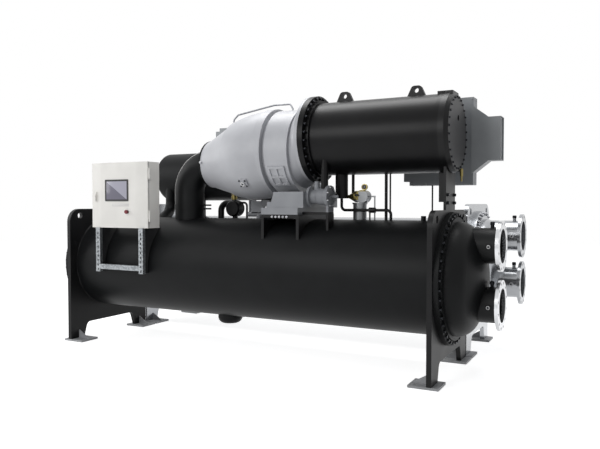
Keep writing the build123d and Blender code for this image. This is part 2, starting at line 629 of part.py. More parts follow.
def compressor_saddle():
    """Steel saddle welded across the top of the evaporator."""
    top = block(SADDLE_LEFT, SADDLE_RIGHT, -SADDLE_HALF, SADDLE_HALF, SADDLE_TOP - SADDLE_PLATE, SADDLE_TOP)
    for x in (SADDLE_LEFT, SADDLE_RIGHT - SADDLE_WEB):
        top += block(x, x + SADDLE_WEB, -SADDLE_HALF, SADDLE_HALF, EVAP_Z, SADDLE_TOP)
    return top - evap_outside


def compressor_pedestal():
    """Cast foot of the gear casing, standing on the saddle."""
    low, high = SADDLE_TOP, SADDLE_TOP + FOOT_FLANGE
    foot = block(SADDLE_LEFT, SADDLE_RIGHT - FOOT_INSET, -SADDLE_HALF, SADDLE_HALF, low, high)
    profile = [(FOOT_LEFT, high), (FOOT_RIGHT, high), (FOOT_RIGHT, FOOT_TOP), (FOOT_SHOULDER, FOOT_TOP),
               (FOOT_STEP_X, FOOT_STEP_Z), (FOOT_LEFT, FOOT_STEP_Z)]
    foot += plate_along(profile, -SADDLE_HALF + FOOT_SIDE, 2 * (SADDLE_HALF - FOOT_SIDE))
    foot -= along_x(SADDLE_LEFT, FOOT_RIGHT, 0, GEAR_Z, GEAR_R)
    return foot - nodes["scroll_casing"] - nodes["gear_casing"]


def oil_pump():
    """Oil pump flanged to the pedestal, with its end disc, its boss, a shelf and a leg."""
    disc, neck = PUMP_RIGHT - PUMP_DISC, FOOT_RIGHT + PUMP_FLANGE + PUMP_NECK
    profile = [(FOOT_RIGHT, 0), (FOOT_RIGHT, PUMP_FLANGE_R), (FOOT_RIGHT + PUMP_FLANGE, PUMP_FLANGE_R),
               (FOOT_RIGHT + PUMP_FLANGE, PUMP_NECK_R), (neck, PUMP_NECK_R), (neck + PUMP_FLARE, PUMP_R),
               (disc - PUMP_FLARE, PUMP_R), (disc, PUMP_DISC_R), (PUMP_RIGHT, PUMP_DISC_R),
               (PUMP_RIGHT, PUMP_RECESS_R), (PUMP_RIGHT - PUMP_RECESS, PUMP_RECESS_R),
               (PUMP_RIGHT - PUMP_RECESS, PUMP_SHAFT_R), (PUMP_RIGHT + PUMP_SHAFT, PUMP_SHAFT_R),
               (PUMP_RIGHT + PUMP_SHAFT, 0)]
    pump = turned(profile, PUMP_Y, PUMP_Z)
    rise = PUMP_BOSS_TOP - PUMP_Z
    pump += Pos(PUMP_BOSS_X, PUMP_Y, PUMP_Z + rise / 2) * Cone(PUMP_BOSS_R, PUMP_BOSS_TIP_R, rise)
    leg_front, leg_back = PUMP_Y - PUMP_LEG_HALF, PUMP_Y + PUMP_LEG_HALF
    leg = block(PUMP_RIGHT - PUMP_LEG, PUMP_RIGHT, leg_front, leg_back, EVAP_Z, PUMP_Z - PUMP_RECESS_R)
    shelf = block(SADDLE_RIGHT - FOOT_INSET, PUMP_RIGHT, leg_front, leg_back, SADDLE_TOP,
                  SADDLE_TOP + PUMP_SHELF)
    return pump + (leg + shelf - evap_outside - nodes["compressor_pedestal"])


def oil_tube():
    """Bent oil tube from the cone's top over the scroll to the gear casing."""
    points = [(OIL_TUBE_LEFT, 0, INLET_Z)] + [(x, 0, z) for x, z in OIL_TUBE_ROUTE]
    points.append((OIL_TUBE_RIGHT, 0, GEAR_Z))
    tube = swept_pipe(points, list(OIL_TUBE_BENDS), OIL_TUBE_R)
    tube = tube - nodes["inlet_housing"] - nodes["scroll_casing"] - nodes["gear_casing"]
    return tube.solids().sort_by(Axis.Z)[-1]


# Motor
def lifting_lug(x):
    """Rounded triangular lug with its hole, along the motor's top."""
    top = MOTOR_Z + MOTOR_R + LUG_HIGH
    low = MOTOR_Z + MOTOR_R - LUG_SINK
    foot, crown = LUG_LONG / 2, LUG_CROWN / 2
    points = [(x - foot, low), (x + foot, low), (x + crown, top), (x - crown, top)]
    lug = plate_along(points, -LUG_THICK / 2, LUG_THICK)
    lug = fillet([e for e in lug.edges().filter_by(Axis.Y) if e.center().Z > top - 1], LUG_ROUND)
    return lug - along_y(x, -LUG_THICK, LUG_THICK, top - LUG_HOLE_DOWN, LUG_HOLE / 2)


def motor_housing():
    """Cylindrical motor housing with its left flange and hub, right rim, top pad and lifting lugs."""
    body = along_x(MOTOR_LEFT, COVER_LEFT, 0, MOTOR_Z, MOTOR_R)
    body += along_x(MOTOR_LEFT, MOTOR_LEFT + MOTOR_FLANGE, 0, MOTOR_Z, MOTOR_FLANGE_R)
    body += along_x(MOTOR_LEFT, MOTOR_LEFT + MOTOR_FLANGE + MOTOR_HUB, 0, MOTOR_Z, MOTOR_R + MOTOR_HUB_STEP)
    body += along_x(COVER_LEFT - BELL_LONG, COVER_LEFT, 0, MOTOR_Z, BELL_R)
    body += block(PAD_LEFT, COVER_LEFT, -PAD_HALF, PAD_HALF, MOTOR_Z, MOTOR_Z + PAD_HIGH)
    for x in LUG_AT:
        body += lifting_lug(x)
    return body


def motor_end_cover():
    """Bolted end cover with its bevelled rim, pad, plug hole and a small drain valve."""
    profile = [(COVER_LEFT, 0), (COVER_LEFT, BELL_R), (MOTOR_RIGHT - COVER_BEVEL, BELL_R),
               (MOTOR_RIGHT, COVER_FACE_R), (MOTOR_RIGHT, 0)]
    cover = turned(profile, 0, MOTOR_Z)
    cover += block(COVER_LEFT, PAD_RIGHT, -PAD_HALF, PAD_HALF, MOTOR_Z, MOTOR_Z + PAD_HIGH)
    cover -= along_x(MOTOR_RIGHT - PLUG_DEEP, MOTOR_RIGHT, PLUG_Y, MOTOR_Z + PLUG_UP, PLUG_R)
    z = MOTOR_Z - DRAIN_VALVE_DOWN
    x = MOTOR_RIGHT + DRAIN_VALVE_OUT
    cover += along_x(COVER_LEFT, x, DRAIN_VALVE_Y, z, DRAIN_VALVE_R * 0.8)
    cover += along_z(x, DRAIN_VALVE_Y, z - DRAIN_VALVE_LONG, z + DRAIN_VALVE_R, DRAIN_VALVE_R)
    tip = z - DRAIN_VALVE_LONG - DRAIN_TIP_LONG
    return cover + along_z(x, DRAIN_VALVE_Y, tip, z, DRAIN_VALVE_R * 0.6)


def motor_post():
    """Post on the right tube plate that carries the end of the motor."""
    y0 = POST_MIDDLE_Y - POST_WIDE / 2
    post = block(HALF - POST_PLATE, HALF, y0, y0 + POST_WIDE, EVAP_PLATE_TOP, MOTOR_Z)
    rib_x = HALF - POST_PLATE - POST_RIB_LONG
    post += block(rib_x, HALF - POST_PLATE, POST_MIDDLE_Y - POST_PLATE / 2, POST_MIDDLE_Y + POST_PLATE / 2,
                  POST_RIB_LOW, MOTOR_Z)
    return post - nodes["motor_housing"] - nodes["motor_end_cover"]


def motor_drain_pipe():
    """Wide drain pipe under the motor, and the oil pipe down to the pump."""
    motor = nodes["motor_housing"]
    drain = along_z(DRAIN_X, 0, DRAIN_LOW, MOTOR_Z, DRAIN_R) - motor
    oil = along_z(PUMP_PIPE_X, PUMP_Y, PUMP_Z, MOTOR_Z, PUMP_PIPE_R) - motor - nodes["oil_pump"]
    return Compound(drain.solids() + oil.solids().sort_by(Axis.Z)[-1:])


def terminal_box():
    """Steel terminal box behind the motor, with its round neck and a thin conduit to the shell."""
    box = block(BOX_LEFT, BOX_RIGHT, BOX_FRONT, BOX_FRONT + BOX_DEEP, BOX_LOW, BOX_HIGH)
    box += block(BOX_LEFT - BOX_STEP_LONG, BOX_LEFT, BOX_FRONT, BOX_FRONT + BOX_DEEP / 2,
                 BOX_LOW + BOX_STEP_HIGH, BOX_HIGH - BOX_STEP_HIGH)
    box += along_y((BOX_LEFT + COVER_LEFT - BELL_LONG) / 2, 0, BOX_FRONT, MOTOR_Z, TERMINAL_NECK_R)
    corner = (CONDUIT_X, CONDUIT_Y, CONDUIT_LOW)
    route = [(CONDUIT_X, CONDUIT_Y, BOX_LOW), corner, (CONDUIT_X, 0, CONDUIT_LOW)]
    conduit = swept_pipe(route, CONDUIT_BEND, CONDUIT_R) - evap_outside
    return (box - nodes["motor_housing"]) + conduit


def terminal_duct():
    """Tapered duct on the right end of the terminal box, ending in a straight collar."""
    front, back = BOX_FRONT - DUCT_PROUD, BOX_FRONT + BOX_DEEP - DUCT_PROUD

    def end(x, low, high, inset):
        middle = (x, (front + back) / 2, (low + high) / 2)
        outline = Rectangle(back - front - 2 * inset, high - low - 2 * inset)
        return Plane(origin=middle, x_dir=(0, 1, 0), z_dir=(1, 0, 0)) * outline
    duct = loft([end(DUCT_FOOT, DUCT_FOOT_LOW, DUCT_FOOT_HIGH, 0), end(DUCT_LEFT, DUCT_LOW, DUCT_HIGH, 0)],
                ruled=True)
    duct += extrude(end(DUCT_LEFT, DUCT_LOW, DUCT_HIGH, 0), DUCT_RIGHT - DUCT_LEFT)
    duct -= extrude(end(DUCT_RIGHT - DUCT_RECESS, DUCT_LOW, DUCT_HIGH, DUCT_WALL), DUCT_RECESS)
    return duct - nodes["terminal_box"]


# Economiser and the pipes between the exchangers
def economiser_vessel():
    """Closed horizontal vessel with flat ends and rounded rims."""
    body = along_x(ECO_LEFT, ECO_RIGHT, COND_Y, ECO_Z, ECO_R)
    return fillet(body.edges().filter_by(GeomType.CIRCLE), ECO_ROUND)


def economiser_saddles():
    """Two saddles that carry the economiser on the condenser."""
    webs = []
    front, back = COND_Y - ECO_SADDLE_HALF, COND_Y + ECO_SADDLE_HALF
    for x in ECO_SADDLES:
        web = block(x, x + ECO_SADDLE_THICK, front, back, COND_Z, ECO_Z)
        web = web - cond_outside - nodes["economiser_vessel"]
        webs += web.solids()
    return Compound(webs)


def economiser_pipes():
    """Wide pipe from the vessel into the evaporator's back, and a thin one down to the condenser."""
    vessel = nodes["economiser_vessel"]
    route = [(ECO_PIPE_X, ECO_PIPE_Y, ECO_Z), (ECO_PIPE_X, ECO_PIPE_Y, ECO_PIPE_TURN_Z), ECO_PIPE_END]
    wide = swept_pipe(route, ECO_PIPE_BEND, ECO_PIPE_R) - vessel - evap_outside
    thin = along_z(ECO_DROP_X, ECO_PIPE_Y, COND_Z, ECO_Z, ECO_DROP_R) - vessel - cond_outside
    return Compound(wide.solids() + thin.solids())


def liquid_line():
    """Pipe from under the condenser to the evaporator's sump."""
    route = [(SUMP_X, COND_Y, COND_Z), (SUMP_X, COND_Y, LIQUID_Z), (SUMP_X, 0, LIQUID_Z)]
    return swept_pipe(route, LIQUID_BEND, LIQUID_R) - cond_outside - nodes["oil_sump"] - evap_outside


def bypass_line():
    """Arched pipe with a round valve and its bonnet, between the riser and the saddle."""
    y0, y1 = BYPASS_Y - BYPASS_VALVE_HALF, BYPASS_Y + BYPASS_VALVE_HALF
    valve = along_y(BYPASS_VALVE_X, y0, y1, BYPASS_VALVE_Z, BYPASS_VALVE_R)
    valve = chamfer(valve.edges().filter_by(GeomType.CIRCLE), BYPASS_VALVE_RIM)
    arch = [(BYPASS_X, BYPASS_Y, EVAP_Z), (BYPASS_X, BYPASS_Y, BYPASS_TOP),
            (BYPASS_VALVE_X, BYPASS_Y, BYPASS_TOP)]
    line = valve + swept_pipe(arch, BYPASS_BEND, BYPASS_R)
    line += along_z(BYPASS_VALVE_X, BYPASS_Y, EVAP_Z, BYPASS_VALVE_Z, BYPASS_NECK_R)
    line += along_z(BONNET_X, BYPASS_Y, BYPASS_VALVE_Z, BONNET_TOP, BONNET_R)
    line += along_z(BONNET_X, BYPASS_Y, BONNET_TOP - 2 * BONNET_NUT, BONNET_TOP - BONNET_NUT, BONNET_NUT_R)
    hook = [(HOOK_X, BYPASS_Y, EVAP_Z), (HOOK_X, BYPASS_Y, HOOK_TOP), (BYPASS_VALVE_X, BYPASS_Y, HOOK_TOP)]
    return line + swept_pipe(hook, HOOK_BEND, HOOK_R) - evap_outside


def oil_cooler():
    """Small plate cooler on the shell, with its tube underneath."""
    y0, y1 = BYPASS_Y - COOLER_HALF, BYPASS_Y + COOLER_HALF
    step = COOLER_RIM_STEP
    core = block(COOLER_LEFT, COOLER_RIGHT, y0, y1, COOLER_LOW, COOLER_HIGH)
    for x in (COOLER_LEFT, COOLER_RIGHT - COOLER_RIM):
        core += block(x, x + COOLER_RIM, y0 - step, y1 + step, COOLER_LOW, COOLER_HIGH + step)
    core += along_x(COOLER_TUBE_LEFT, COOLER_TUBE_RIGHT, BYPASS_Y, COOLER_TUBE_Z, COOLER_TUBE_R)
    core += along_z((COOLER_LEFT + COOLER_RIGHT) / 2, BYPASS_Y, EVAP_Z, COOLER_LOW, COOLER_TUBE_R)
    return core - evap_outside


# Small pipes
def refrigerant_line():
    """Thin line from the motor's drain pipe along the shell and down into it, with a valve."""
    corner = (LINE_RIGHT, 0, LINE_Z)
    points = [(DRAIN_X, 0, DRAIN_LOW), (DRAIN_X, 0, LINE_Z), corner, (LINE_RIGHT, 0, EVAP_Z)]
    line = swept_pipe(points, LINE_BEND, LINE_R)
    line += along_x(LINE_VALVE_X - LINE_VALVE_HALF, LINE_VALVE_X + LINE_VALVE_HALF, 0, LINE_Z, LINE_VALVE_R)
    line += along_z(LINE_LEG_X, 0, EVAP_Z, LINE_Z, LINE_LEG_R)
    return line - evap_outside


def strainer():
    """Strainer column on the shell, with its cap, brass body, gauge and drop line."""
    y0, y1 = STRAINER_Y - CAP_HALF, STRAINER_Y + CAP_HALF
    rim_r = STRAINER_R + STRAINER_RIM_STEP
    body = along_z(STRAINER_X, STRAINER_Y, EVAP_Z, STRAINER_TOP, STRAINER_R)
    body += along_z(STRAINER_X, STRAINER_Y, STRAINER_TOP - STRAINER_RIM, STRAINER_TOP, rim_r)
    body += along_y(CAP_X, y0, y1, CAP_Z, CAP_R)
    cone = BRASS_LEFT + BRASS_CONE
    brass = [(BRASS_LEFT, 0), (BRASS_LEFT, BRASS_SMALL_R), (cone, BRASS_R), (CAP_X, BRASS_R), (CAP_X, 0)]
    body += turned(brass, STRAINER_Y, CAP_Z)
    body += along_x(DRAIN_X, BRASS_LEFT, STRAINER_Y, CAP_Z, BRASS_SMALL_R)
    body += along_y(DRAIN_X, 0, STRAINER_Y + BRASS_SMALL_R, CAP_Z, BRASS_SMALL_R)
    body += along_z(GAUGE_X, STRAINER_Y, CAP_Z, GAUGE_Z, GAUGE_STEM_R)
    body += along_y(GAUGE_X, STRAINER_Y - GAUGE_DEEP / 2, STRAINER_Y + GAUGE_DEEP / 2, GAUGE_Z, GAUGE_R)
    body += along_x(CAP_X, DROP_X + DROP_R, STRAINER_Y, CAP_Z, DROP_R)
    body += along_z(DROP_X, STRAINER_Y, EVAP_Z, CAP_Z, DROP_R)
    return body - evap_outside - nodes["motor_drain_pipe"]


def motor_tubes():
    """Three upright tubes from the motor's underside down to the thin line and the brass body."""
    tubes = []
    for x, y, r in ((TUBE_A_X, 0, TUBE_A_R), (TUBE_B_X, 0, TUBE_B_R), (TUBE_C_X, STRAINER_Y, TUBE_C_R)):
        tube = along_z(x, y, EVAP_TOP, MOTOR_Z, r) - nodes["motor_housing"]
        tubes += (tube - nodes["refrigerant_line"] - nodes["strainer"]).solids().sort_by(Axis.Z)[-1:]
    return Compound(tubes)


def oil_sump():
    """Round sump under the evaporator shell."""
    cup = along_z(SUMP_X, 0, SUMP_LOW, EVAP_Z, SUMP_R)
    cup = fillet(cup.edges().sort_by(Axis.Z)[0], SUMP_R / 2)
    return cup - evap_outside


# Control cabinet
def cabinet():
    """Sheet-metal cabinet body, open at the front, with the fixed halves of the door hinges."""
    y0, low, high = DOOR_BACK + DOOR_GAP, CAB_LOW + SHEET, CAB_HIGH - SHEET
    box = block(CAB_LEFT, CAB_RIGHT, y0, CAB_BACK, CAB_LOW, CAB_HIGH)
    box -= block(CAB_LEFT + SHEET, CAB_RIGHT - SHEET, y0, CAB_BACK - SHEET, low, high)
    for z in HINGE_AT:
        for z0 in (z - HINGE_LONG, z + HINGE_LONG / 2):
            box += along_z(HINGE_X, DOOR_BACK, z0, z0 + HINGE_LONG / 2, HINGE_BARREL_R)
            box += block(CAB_RIGHT, HINGE_X, y0, y0 + HINGE_LEAF, z0, z0 + HINGE_LONG / 2)
        box += along_z(HINGE_X, DOOR_BACK, z - HINGE_LONG, z + HINGE_LONG, HINGE_PIN_R)
    return box


def mounting_plate():
    """Plate inside the cabinet on four studs, with the rails that carry the controls."""
    left, right = CAB_LEFT + BACK_PLATE_EDGE, CAB_RIGHT - BACK_PLATE_EDGE
    low, high = CAB_LOW + BACK_PLATE_EDGE, CAB_HIGH - BACK_PLATE_EDGE
    back = CAB_BACK - SHEET
    face = back - BACK_PLATE_STUD - BACK_PLATE
    plate = block(left, right, face, face + BACK_PLATE, low, high)
    for x in (left + BACK_PLATE_STUD, right - BACK_PLATE_STUD):
        for z in (low + BACK_PLATE_STUD, high - BACK_PLATE_STUD):
            plate += along_y(x, back - BACK_PLATE_STUD, back, z, STUD_R)
    for n in range(RAIL_COUNT):
        z = low + (high - low) * (n + 0.5) / RAIL_COUNT
        plate += block(left + RAIL_MARGIN, right - RAIL_MARGIN, face - RAIL_DEEP, face, z - RAIL_WIDE / 2,
                       z + RAIL_WIDE / 2)
    return plate


def door_pressing(inset, low, high):
    """The door's outline with its bevelled sides, drawn in by the sheet, as a closed solid."""
    left, right = CAB_LEFT + inset, CAB_RIGHT - inset
    front = DOOR_FRONT + inset
    points = [(left, DOOR_BACK), (left, front + DOOR_BEVEL), (CAB_LEFT + DOOR_BEVEL_WIDE, front),
              (CAB_RIGHT - DOOR_BEVEL_WIDE, front), (right, front + DOOR_BEVEL), (right, DOOR_BACK)]
    return Pos(0, 0, low) * extrude(make_face(Polyline(*points, close=True)), high - low)


def cabinet_door():
    """Pressed door with bevelled sides, hinged at its right edge."""
    door = door_pressing(0, CAB_LOW, CAB_HIGH) - door_pressing(SHEET, CAB_LOW + SHEET, CAB_HIGH - SHEET)
    door -= block(SCREEN_LEFT + SCREEN_EDGE, SCREEN_RIGHT - SCREEN_EDGE, DOOR_FRONT, DOOR_FRONT + SHEET,
                  SCREEN_LOW + SCREEN_EDGE, SCREEN_HIGH - SCREEN_EDGE)
    door -= along_y(STOP_X, DOOR_FRONT, DOOR_FRONT + SHEET, STOP_Z, STOP_NECK_R)
    door -= along_y(LOCK_X, DOOR_FRONT, DOOR_BACK, LOCK_Z, LOCK_HOLE_R)
    for z in HINGE_AT:
        low, high = z - HINGE_LONG / 2 + HINGE_END_PLAY, z + HINGE_LONG / 2 - HINGE_END_PLAY
        door += along_z(HINGE_X, DOOR_BACK, low, high, HINGE_BARREL_R)
        door += block(CAB_RIGHT - SHEET, HINGE_X, DOOR_BACK - HINGE_DOOR_LEAF, DOOR_BACK, low, high)
        door -= along_z(HINGE_X, DOOR_BACK, low, high, HINGE_PIN_R + HINGE_PLAY)
    return door


def door_lock():
    """Lock on the door's left bevel, with its lever in front and its case behind."""
    low, high, front = LOCK_Z - LOCK_TALL / 2, LOCK_Z + LOCK_TALL / 2, DOOR_FRONT - LOCK_PROUD
    lock = block(LOCK_X - LOCK_HALF, LOCK_X + LOCK_HALF, front, DOOR_FRONT + LOCK_BACK, low, high)
    lock += block(LOCK_X - HANDLE_HALF, LOCK_X + HANDLE_HALF, DOOR_FRONT - HANDLE_PROUD, front,
                  low + LOCK_HALF, low + LOCK_HALF + HANDLE_TALL)
    return lock - nodes["cabinet_door"]


def display_screen():
    """Display set in the door, with a bezel that stands on the door's face."""
    front = DOOR_FRONT - SCREEN_PROUD
    bezel = block(SCREEN_LEFT, SCREEN_RIGHT, front, DOOR_FRONT, SCREEN_LOW, SCREEN_HIGH)
    bezel = fillet(bezel.edges().filter_by(Axis.Y), SCREEN_ROUND)
    bezel -= block(SCREEN_LEFT + SCREEN_FRAME, SCREEN_RIGHT - SCREEN_FRAME, front, front + GLASS_SINK,
                   SCREEN_LOW + SCREEN_FRAME, SCREEN_HIGH - SCREEN_FRAME)
    return bezel + block(SCREEN_LEFT + SCREEN_EDGE, SCREEN_RIGHT - SCREEN_EDGE, DOOR_FRONT,
                         DOOR_FRONT + SCREEN_DEEP, SCREEN_LOW + SCREEN_EDGE, SCREEN_HIGH - SCREEN_EDGE)


def stop_housing():
    """Fixed collar and contact block of the emergency stop."""
    well = DOOR_FRONT + STOP_WELL
    body = along_y(STOP_X, DOOR_FRONT - STOP_COLLAR, DOOR_FRONT, STOP_Z, STOP_COLLAR_R)
    body += along_y(STOP_X, DOOR_FRONT, DOOR_FRONT + STOP_BLOCK_BACK, STOP_Z, STOP_NECK_R)
    body += block(STOP_X - STOP_BLOCK, STOP_X + STOP_BLOCK, DOOR_FRONT + SHEET, DOOR_FRONT + STOP_BLOCK_BACK,
                  STOP_Z - STOP_BLOCK, STOP_Z + STOP_BLOCK)
    return body - along_y(STOP_X, DOOR_FRONT - STOP_COLLAR, well, STOP_Z, STOP_STEM_R + STOP_STEM_PLAY)


def stop_button():
    """Mushroom button of the emergency stop."""
    back = DOOR_FRONT - STOP_HEAD_BACK
    head = along_y(STOP_X, DOOR_FRONT - STOP_HEAD_FRONT, back, STOP_Z, STOP_HEAD_R)
    head = fillet(head.edges().filter_by(GeomType.CIRCLE).sort_by(Axis.Y)[0], STOP_HEAD_ROUND)
    return head + along_y(STOP_X, back, DOOR_FRONT + STOP_STEM_IN, STOP_Z, STOP_STEM_R)


def slotted_strut(x):
    """Open channel with a row of slots down its front face."""
    back = STRUT_FRONT + STRUT_DEEP
    half, inside = STRUT_WIDE / 2, STRUT_WIDE / 2 - STRUT_WALL
    strut = block(x - half, x + half, STRUT_FRONT, back, STRUT_LOW, CAB_LOW)
    strut -= block(x - inside, x + inside, STRUT_FRONT + STRUT_WALL, back, STRUT_LOW, CAB_LOW)
    slots = int((CAB_LOW - STRUT_LOW) // SLOT_PITCH)
    face = Plane(origin=(x, STRUT_FRONT, STRUT_LOW), x_dir=(0, 0, 1), z_dir=(0, 1, 0))
    slot = extrude(SlotOverall(SLOT_LONG, SLOT_WIDE), STRUT_WALL)
    for n in range(slots):
        strut -= face * (Pos((n + 0.5) * SLOT_PITCH, 0) * slot)
    return strut


def strut_frame():
    """Two slotted channels under the cabinet, joined by a cross channel."""
    left, right = STRUT_AT[0] + STRUT_WIDE / 2, STRUT_AT[1] - STRUT_WIDE / 2
    low, high = STRUT_LOW + STRUT_BAR_UP, STRUT_LOW + STRUT_BAR_UP + STRUT_BAR
    back, wall = STRUT_FRONT + STRUT_DEEP, STRUT_WALL
    bar = block(left, right, STRUT_FRONT, back, low, high)
    bar -= block(left, right, STRUT_FRONT + wall, back, low + wall, high - wall)
    return slotted_strut(STRUT_AT[0]) + bar + slotted_strut(STRUT_AT[1])


def cabinet_brackets():
    """Two plates welded to the shell that carry the struts and the cabinet."""
    plates, half = [], BRACKET_THICK / 2
    for x in STRUT_AT:
        plate = block(x - half, x + half, BRACKET_FRONT, BRACKET_BACK, STRUT_LOW, CAB_LOW)
        plates += (plate - evap_outside).solids().sort_by(Axis.Y)[:1]
    return Compound(plates)


evap_outside = along_x(-INNER, INNER, 0, EVAP_Z, EVAP_R)
cond_outside = along_x(-INNER, INNER, COND_Y, COND_Z, COND_R)
head_outside, hub_outside = {}, {}

exchanger("evaporator", 0, EVAP_Z, EVAP_R, EVAP_WALL, EVAP_PLATE_HALF, EVAP_PLATE_TOP, EVAP_RING_R,
          (EVAP_NOZZLE_UP, -EVAP_NOZZLE_DOWN))
exchanger("condenser", COND_Y, COND_Z, COND_R, COND_WALL, COND_PLATE_HALF, COND_PLATE_TOP, COND_RING_R,
          (COND_NOZZLE, -COND_NOZZLE))
add_service_stub()
for piece in (inlet_housing, scroll_casing, gear_casing, vane_actuator, suction_elbow, suction_riser,
              discharge_pipe, compressor_saddle, compressor_pedestal, oil_pump, oil_tube, motor_housing,
              motor_end_cover, motor_post, motor_drain_pipe, terminal_box, terminal_duct, economiser_vessel,
              economiser_saddles, economiser_pipes, bypass_line, oil_cooler, refrigerant_line, strainer,
              motor_tubes, oil_sump, liquid_line, cabinet, mounting_plate, cabinet_door, door_lock,
              display_screen, stop_housing, stop_button, strut_frame, cabinet_brackets):
    nodes[piece.__name__] = piece()

boxes = [shape.bounding_box() for shape in nodes.values()]
middle_x = (min(b.min.X for b in boxes) + max(b.max.X for b in boxes)) / 2
middle_y = (min(b.min.Y for b in boxes) + max(b.max.Y for b in boxes)) / 2
to_footprint = Pos(-middle_x, -middle_y, 0)
print("moved by", -middle_x, -middle_y)

os.makedirs("parts", exist_ok=True)
for name, shape in nodes.items():
    export_step(to_footprint * shape, f"parts/{name}.step")
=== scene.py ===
# %% [markdown]
# # A water chiller, dressed for its portrait
#
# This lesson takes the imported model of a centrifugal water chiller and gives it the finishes, the
# fasteners and the small fittings that make it look real. The solids come ready made, in metres, and
# they stay where they are. Every cell below makes a finish or models a piece that sits on them.

# %% Load the frame
from math import cos, pi, radians, sin

import bpy
from mathutils import Matrix, Vector


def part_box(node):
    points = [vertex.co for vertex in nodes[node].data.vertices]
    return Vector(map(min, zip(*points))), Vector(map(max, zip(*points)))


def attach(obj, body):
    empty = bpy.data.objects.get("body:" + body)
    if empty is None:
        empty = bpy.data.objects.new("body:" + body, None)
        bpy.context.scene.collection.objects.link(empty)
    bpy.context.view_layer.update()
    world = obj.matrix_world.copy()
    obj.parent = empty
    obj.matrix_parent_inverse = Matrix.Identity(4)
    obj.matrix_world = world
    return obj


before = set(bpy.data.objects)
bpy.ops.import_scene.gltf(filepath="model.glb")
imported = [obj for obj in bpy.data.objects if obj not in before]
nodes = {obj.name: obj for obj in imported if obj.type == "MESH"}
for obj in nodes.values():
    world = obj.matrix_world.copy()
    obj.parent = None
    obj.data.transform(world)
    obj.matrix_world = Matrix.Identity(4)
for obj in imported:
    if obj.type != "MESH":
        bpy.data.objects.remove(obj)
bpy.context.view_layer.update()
scene = bpy.context.scene

# %% [markdown]
# ## The camera
#
# The photograph was taken from the front right, a little under the top of the machine, with a normal
# lens. The vanishing lines of the two shells give the turn and the tilt, and the known length between
# the tube plates gives the distance. No shift is needed, because the picture isn't cropped.

# %% Camera
CAMERA_PLACE = (3.540, -6.411, 1.578)
CAMERA_TURN = 27.5
CAMERA_DROP = 1.834
LENS = 38.04

camera = bpy.data.objects.new("camera", bpy.data.cameras.new("camera"))
camera.data.lens = LENS
camera.data.sensor_width = 36.0
camera.location = CAMERA_PLACE
camera.rotation_euler = (radians(90 - CAMERA_DROP), 0, radians(CAMERA_TURN))
scene.collection.objects.link(camera)
scene.camera = camera
print("camera at", CAMERA_PLACE)

# %% [markdown]
# ## Floor and light
#
# The machine stands in a white studio. The world lights it evenly from all sides, and three soft
# lamps give the rounded shells their long highlights. Rays from the camera, and rays that a shiny
# surface sends on, see a white backdrop instead of that light, so the background is pure white
# without one watt more on the object. The floor does the same but keeps the soft shadow.


# %% A small node helper and the colour function
def linear(code):
    """An sRGB hex colour as the linear numbers that Blender's sockets take."""
    values = [int(code[n:n + 2], 16) / 255 for n in (1, 3, 5)]
    return tuple(v / 12.92 if v <= 0.04045 else ((v + 0.055) / 1.055) ** 2.4 for v in values) + (1.0,)


def add_node(tree, kind, links=None, inputs=None, **settings):
    """One node with its settings, its typed-in inputs and the sockets that feed it."""
    made = tree.nodes.new(kind)
    for name, value in settings.items():
        setattr(made, name, value)
    for name, value in (inputs or {}).items():
        made.inputs[name].default_value = value
    for name, source in (links or {}).items():
        tree.links.new(source, made.inputs[name])
    return made


# %% Floor and world
WHITE = "#FFFFFF"
FLOOR_GREY = "#DCDCDC"
FLOOR_GLOW = 0.81
WORLD_LIGHT = 0.34
FLOOR_SPREAD = 40.0


def sees_backdrop(tree):
    """1 for rays that show the background itself, 0 for rays that light the object."""
    path = add_node(tree, "ShaderNodeLightPath")
    either = add_node(tree, "ShaderNodeMath",
                      {0: path.outputs["Is Camera Ray"], 1: path.outputs["Is Glossy Ray"]},
                      operation="MAXIMUM")
    return add_node(tree, "ShaderNodeMath", {0: either.outputs[0], 1: path.outputs["Is Transmission Ray"]},
                    operation="MAXIMUM").outputs[0]


def make_world():
    """Even studio light, with a white backdrop."""
    world = bpy.data.worlds.new("studio")
    scene.world = world
    world.use_nodes = True
    tree = world.node_tree
    tree.nodes.clear()
    light = add_node(tree, "ShaderNodeBackground", inputs={"Color": linear("#F4F6FA"), "Strength": WORLD_LIGHT})
    backdrop = add_node(tree, "ShaderNodeBackground", inputs={"Color": linear(WHITE), "Strength": 1.0})
    mix = add_node(tree, "ShaderNodeMixShader", {0: sees_backdrop(tree), 1: light.outputs[0],
                                                 2: backdrop.outputs[0]})
    add_node(tree, "ShaderNodeOutputWorld", {"Surface": mix.outputs[0]})


def make_floor():
    """A plain pale floor, which stays white where no shadow falls."""
    bpy.ops.mesh.primitive_plane_add(size=FLOOR_SPREAD, location=(0, 0, 0))
    floor = bpy.context.object
    floor.name = "studio_floor"
    finish = bpy.data.materials.new("studio_floor_paint")
    finish.use_nodes = True
    tree = finish.node_tree
    tree.nodes.clear()
    matt = add_node(tree, "ShaderNodeBsdfDiffuse", inputs={"Color": linear(FLOOR_GREY)})
    glow = add_node(tree, "ShaderNodeEmission", inputs={"Color": linear(WHITE), "Strength": FLOOR_GLOW})
    both = add_node(tree, "ShaderNodeAddShader", {0: matt.outputs[0], 1: glow.outputs[0]})
    seen = add_node(tree, "ShaderNodeMixShader",
                    {0: sees_backdrop(tree), 1: matt.outputs[0], 2: both.outputs[0]})
    add_node(tree, "ShaderNodeOutputMaterial", {"Surface": seen.outputs[0]})
    floor.data.materials.append(finish)


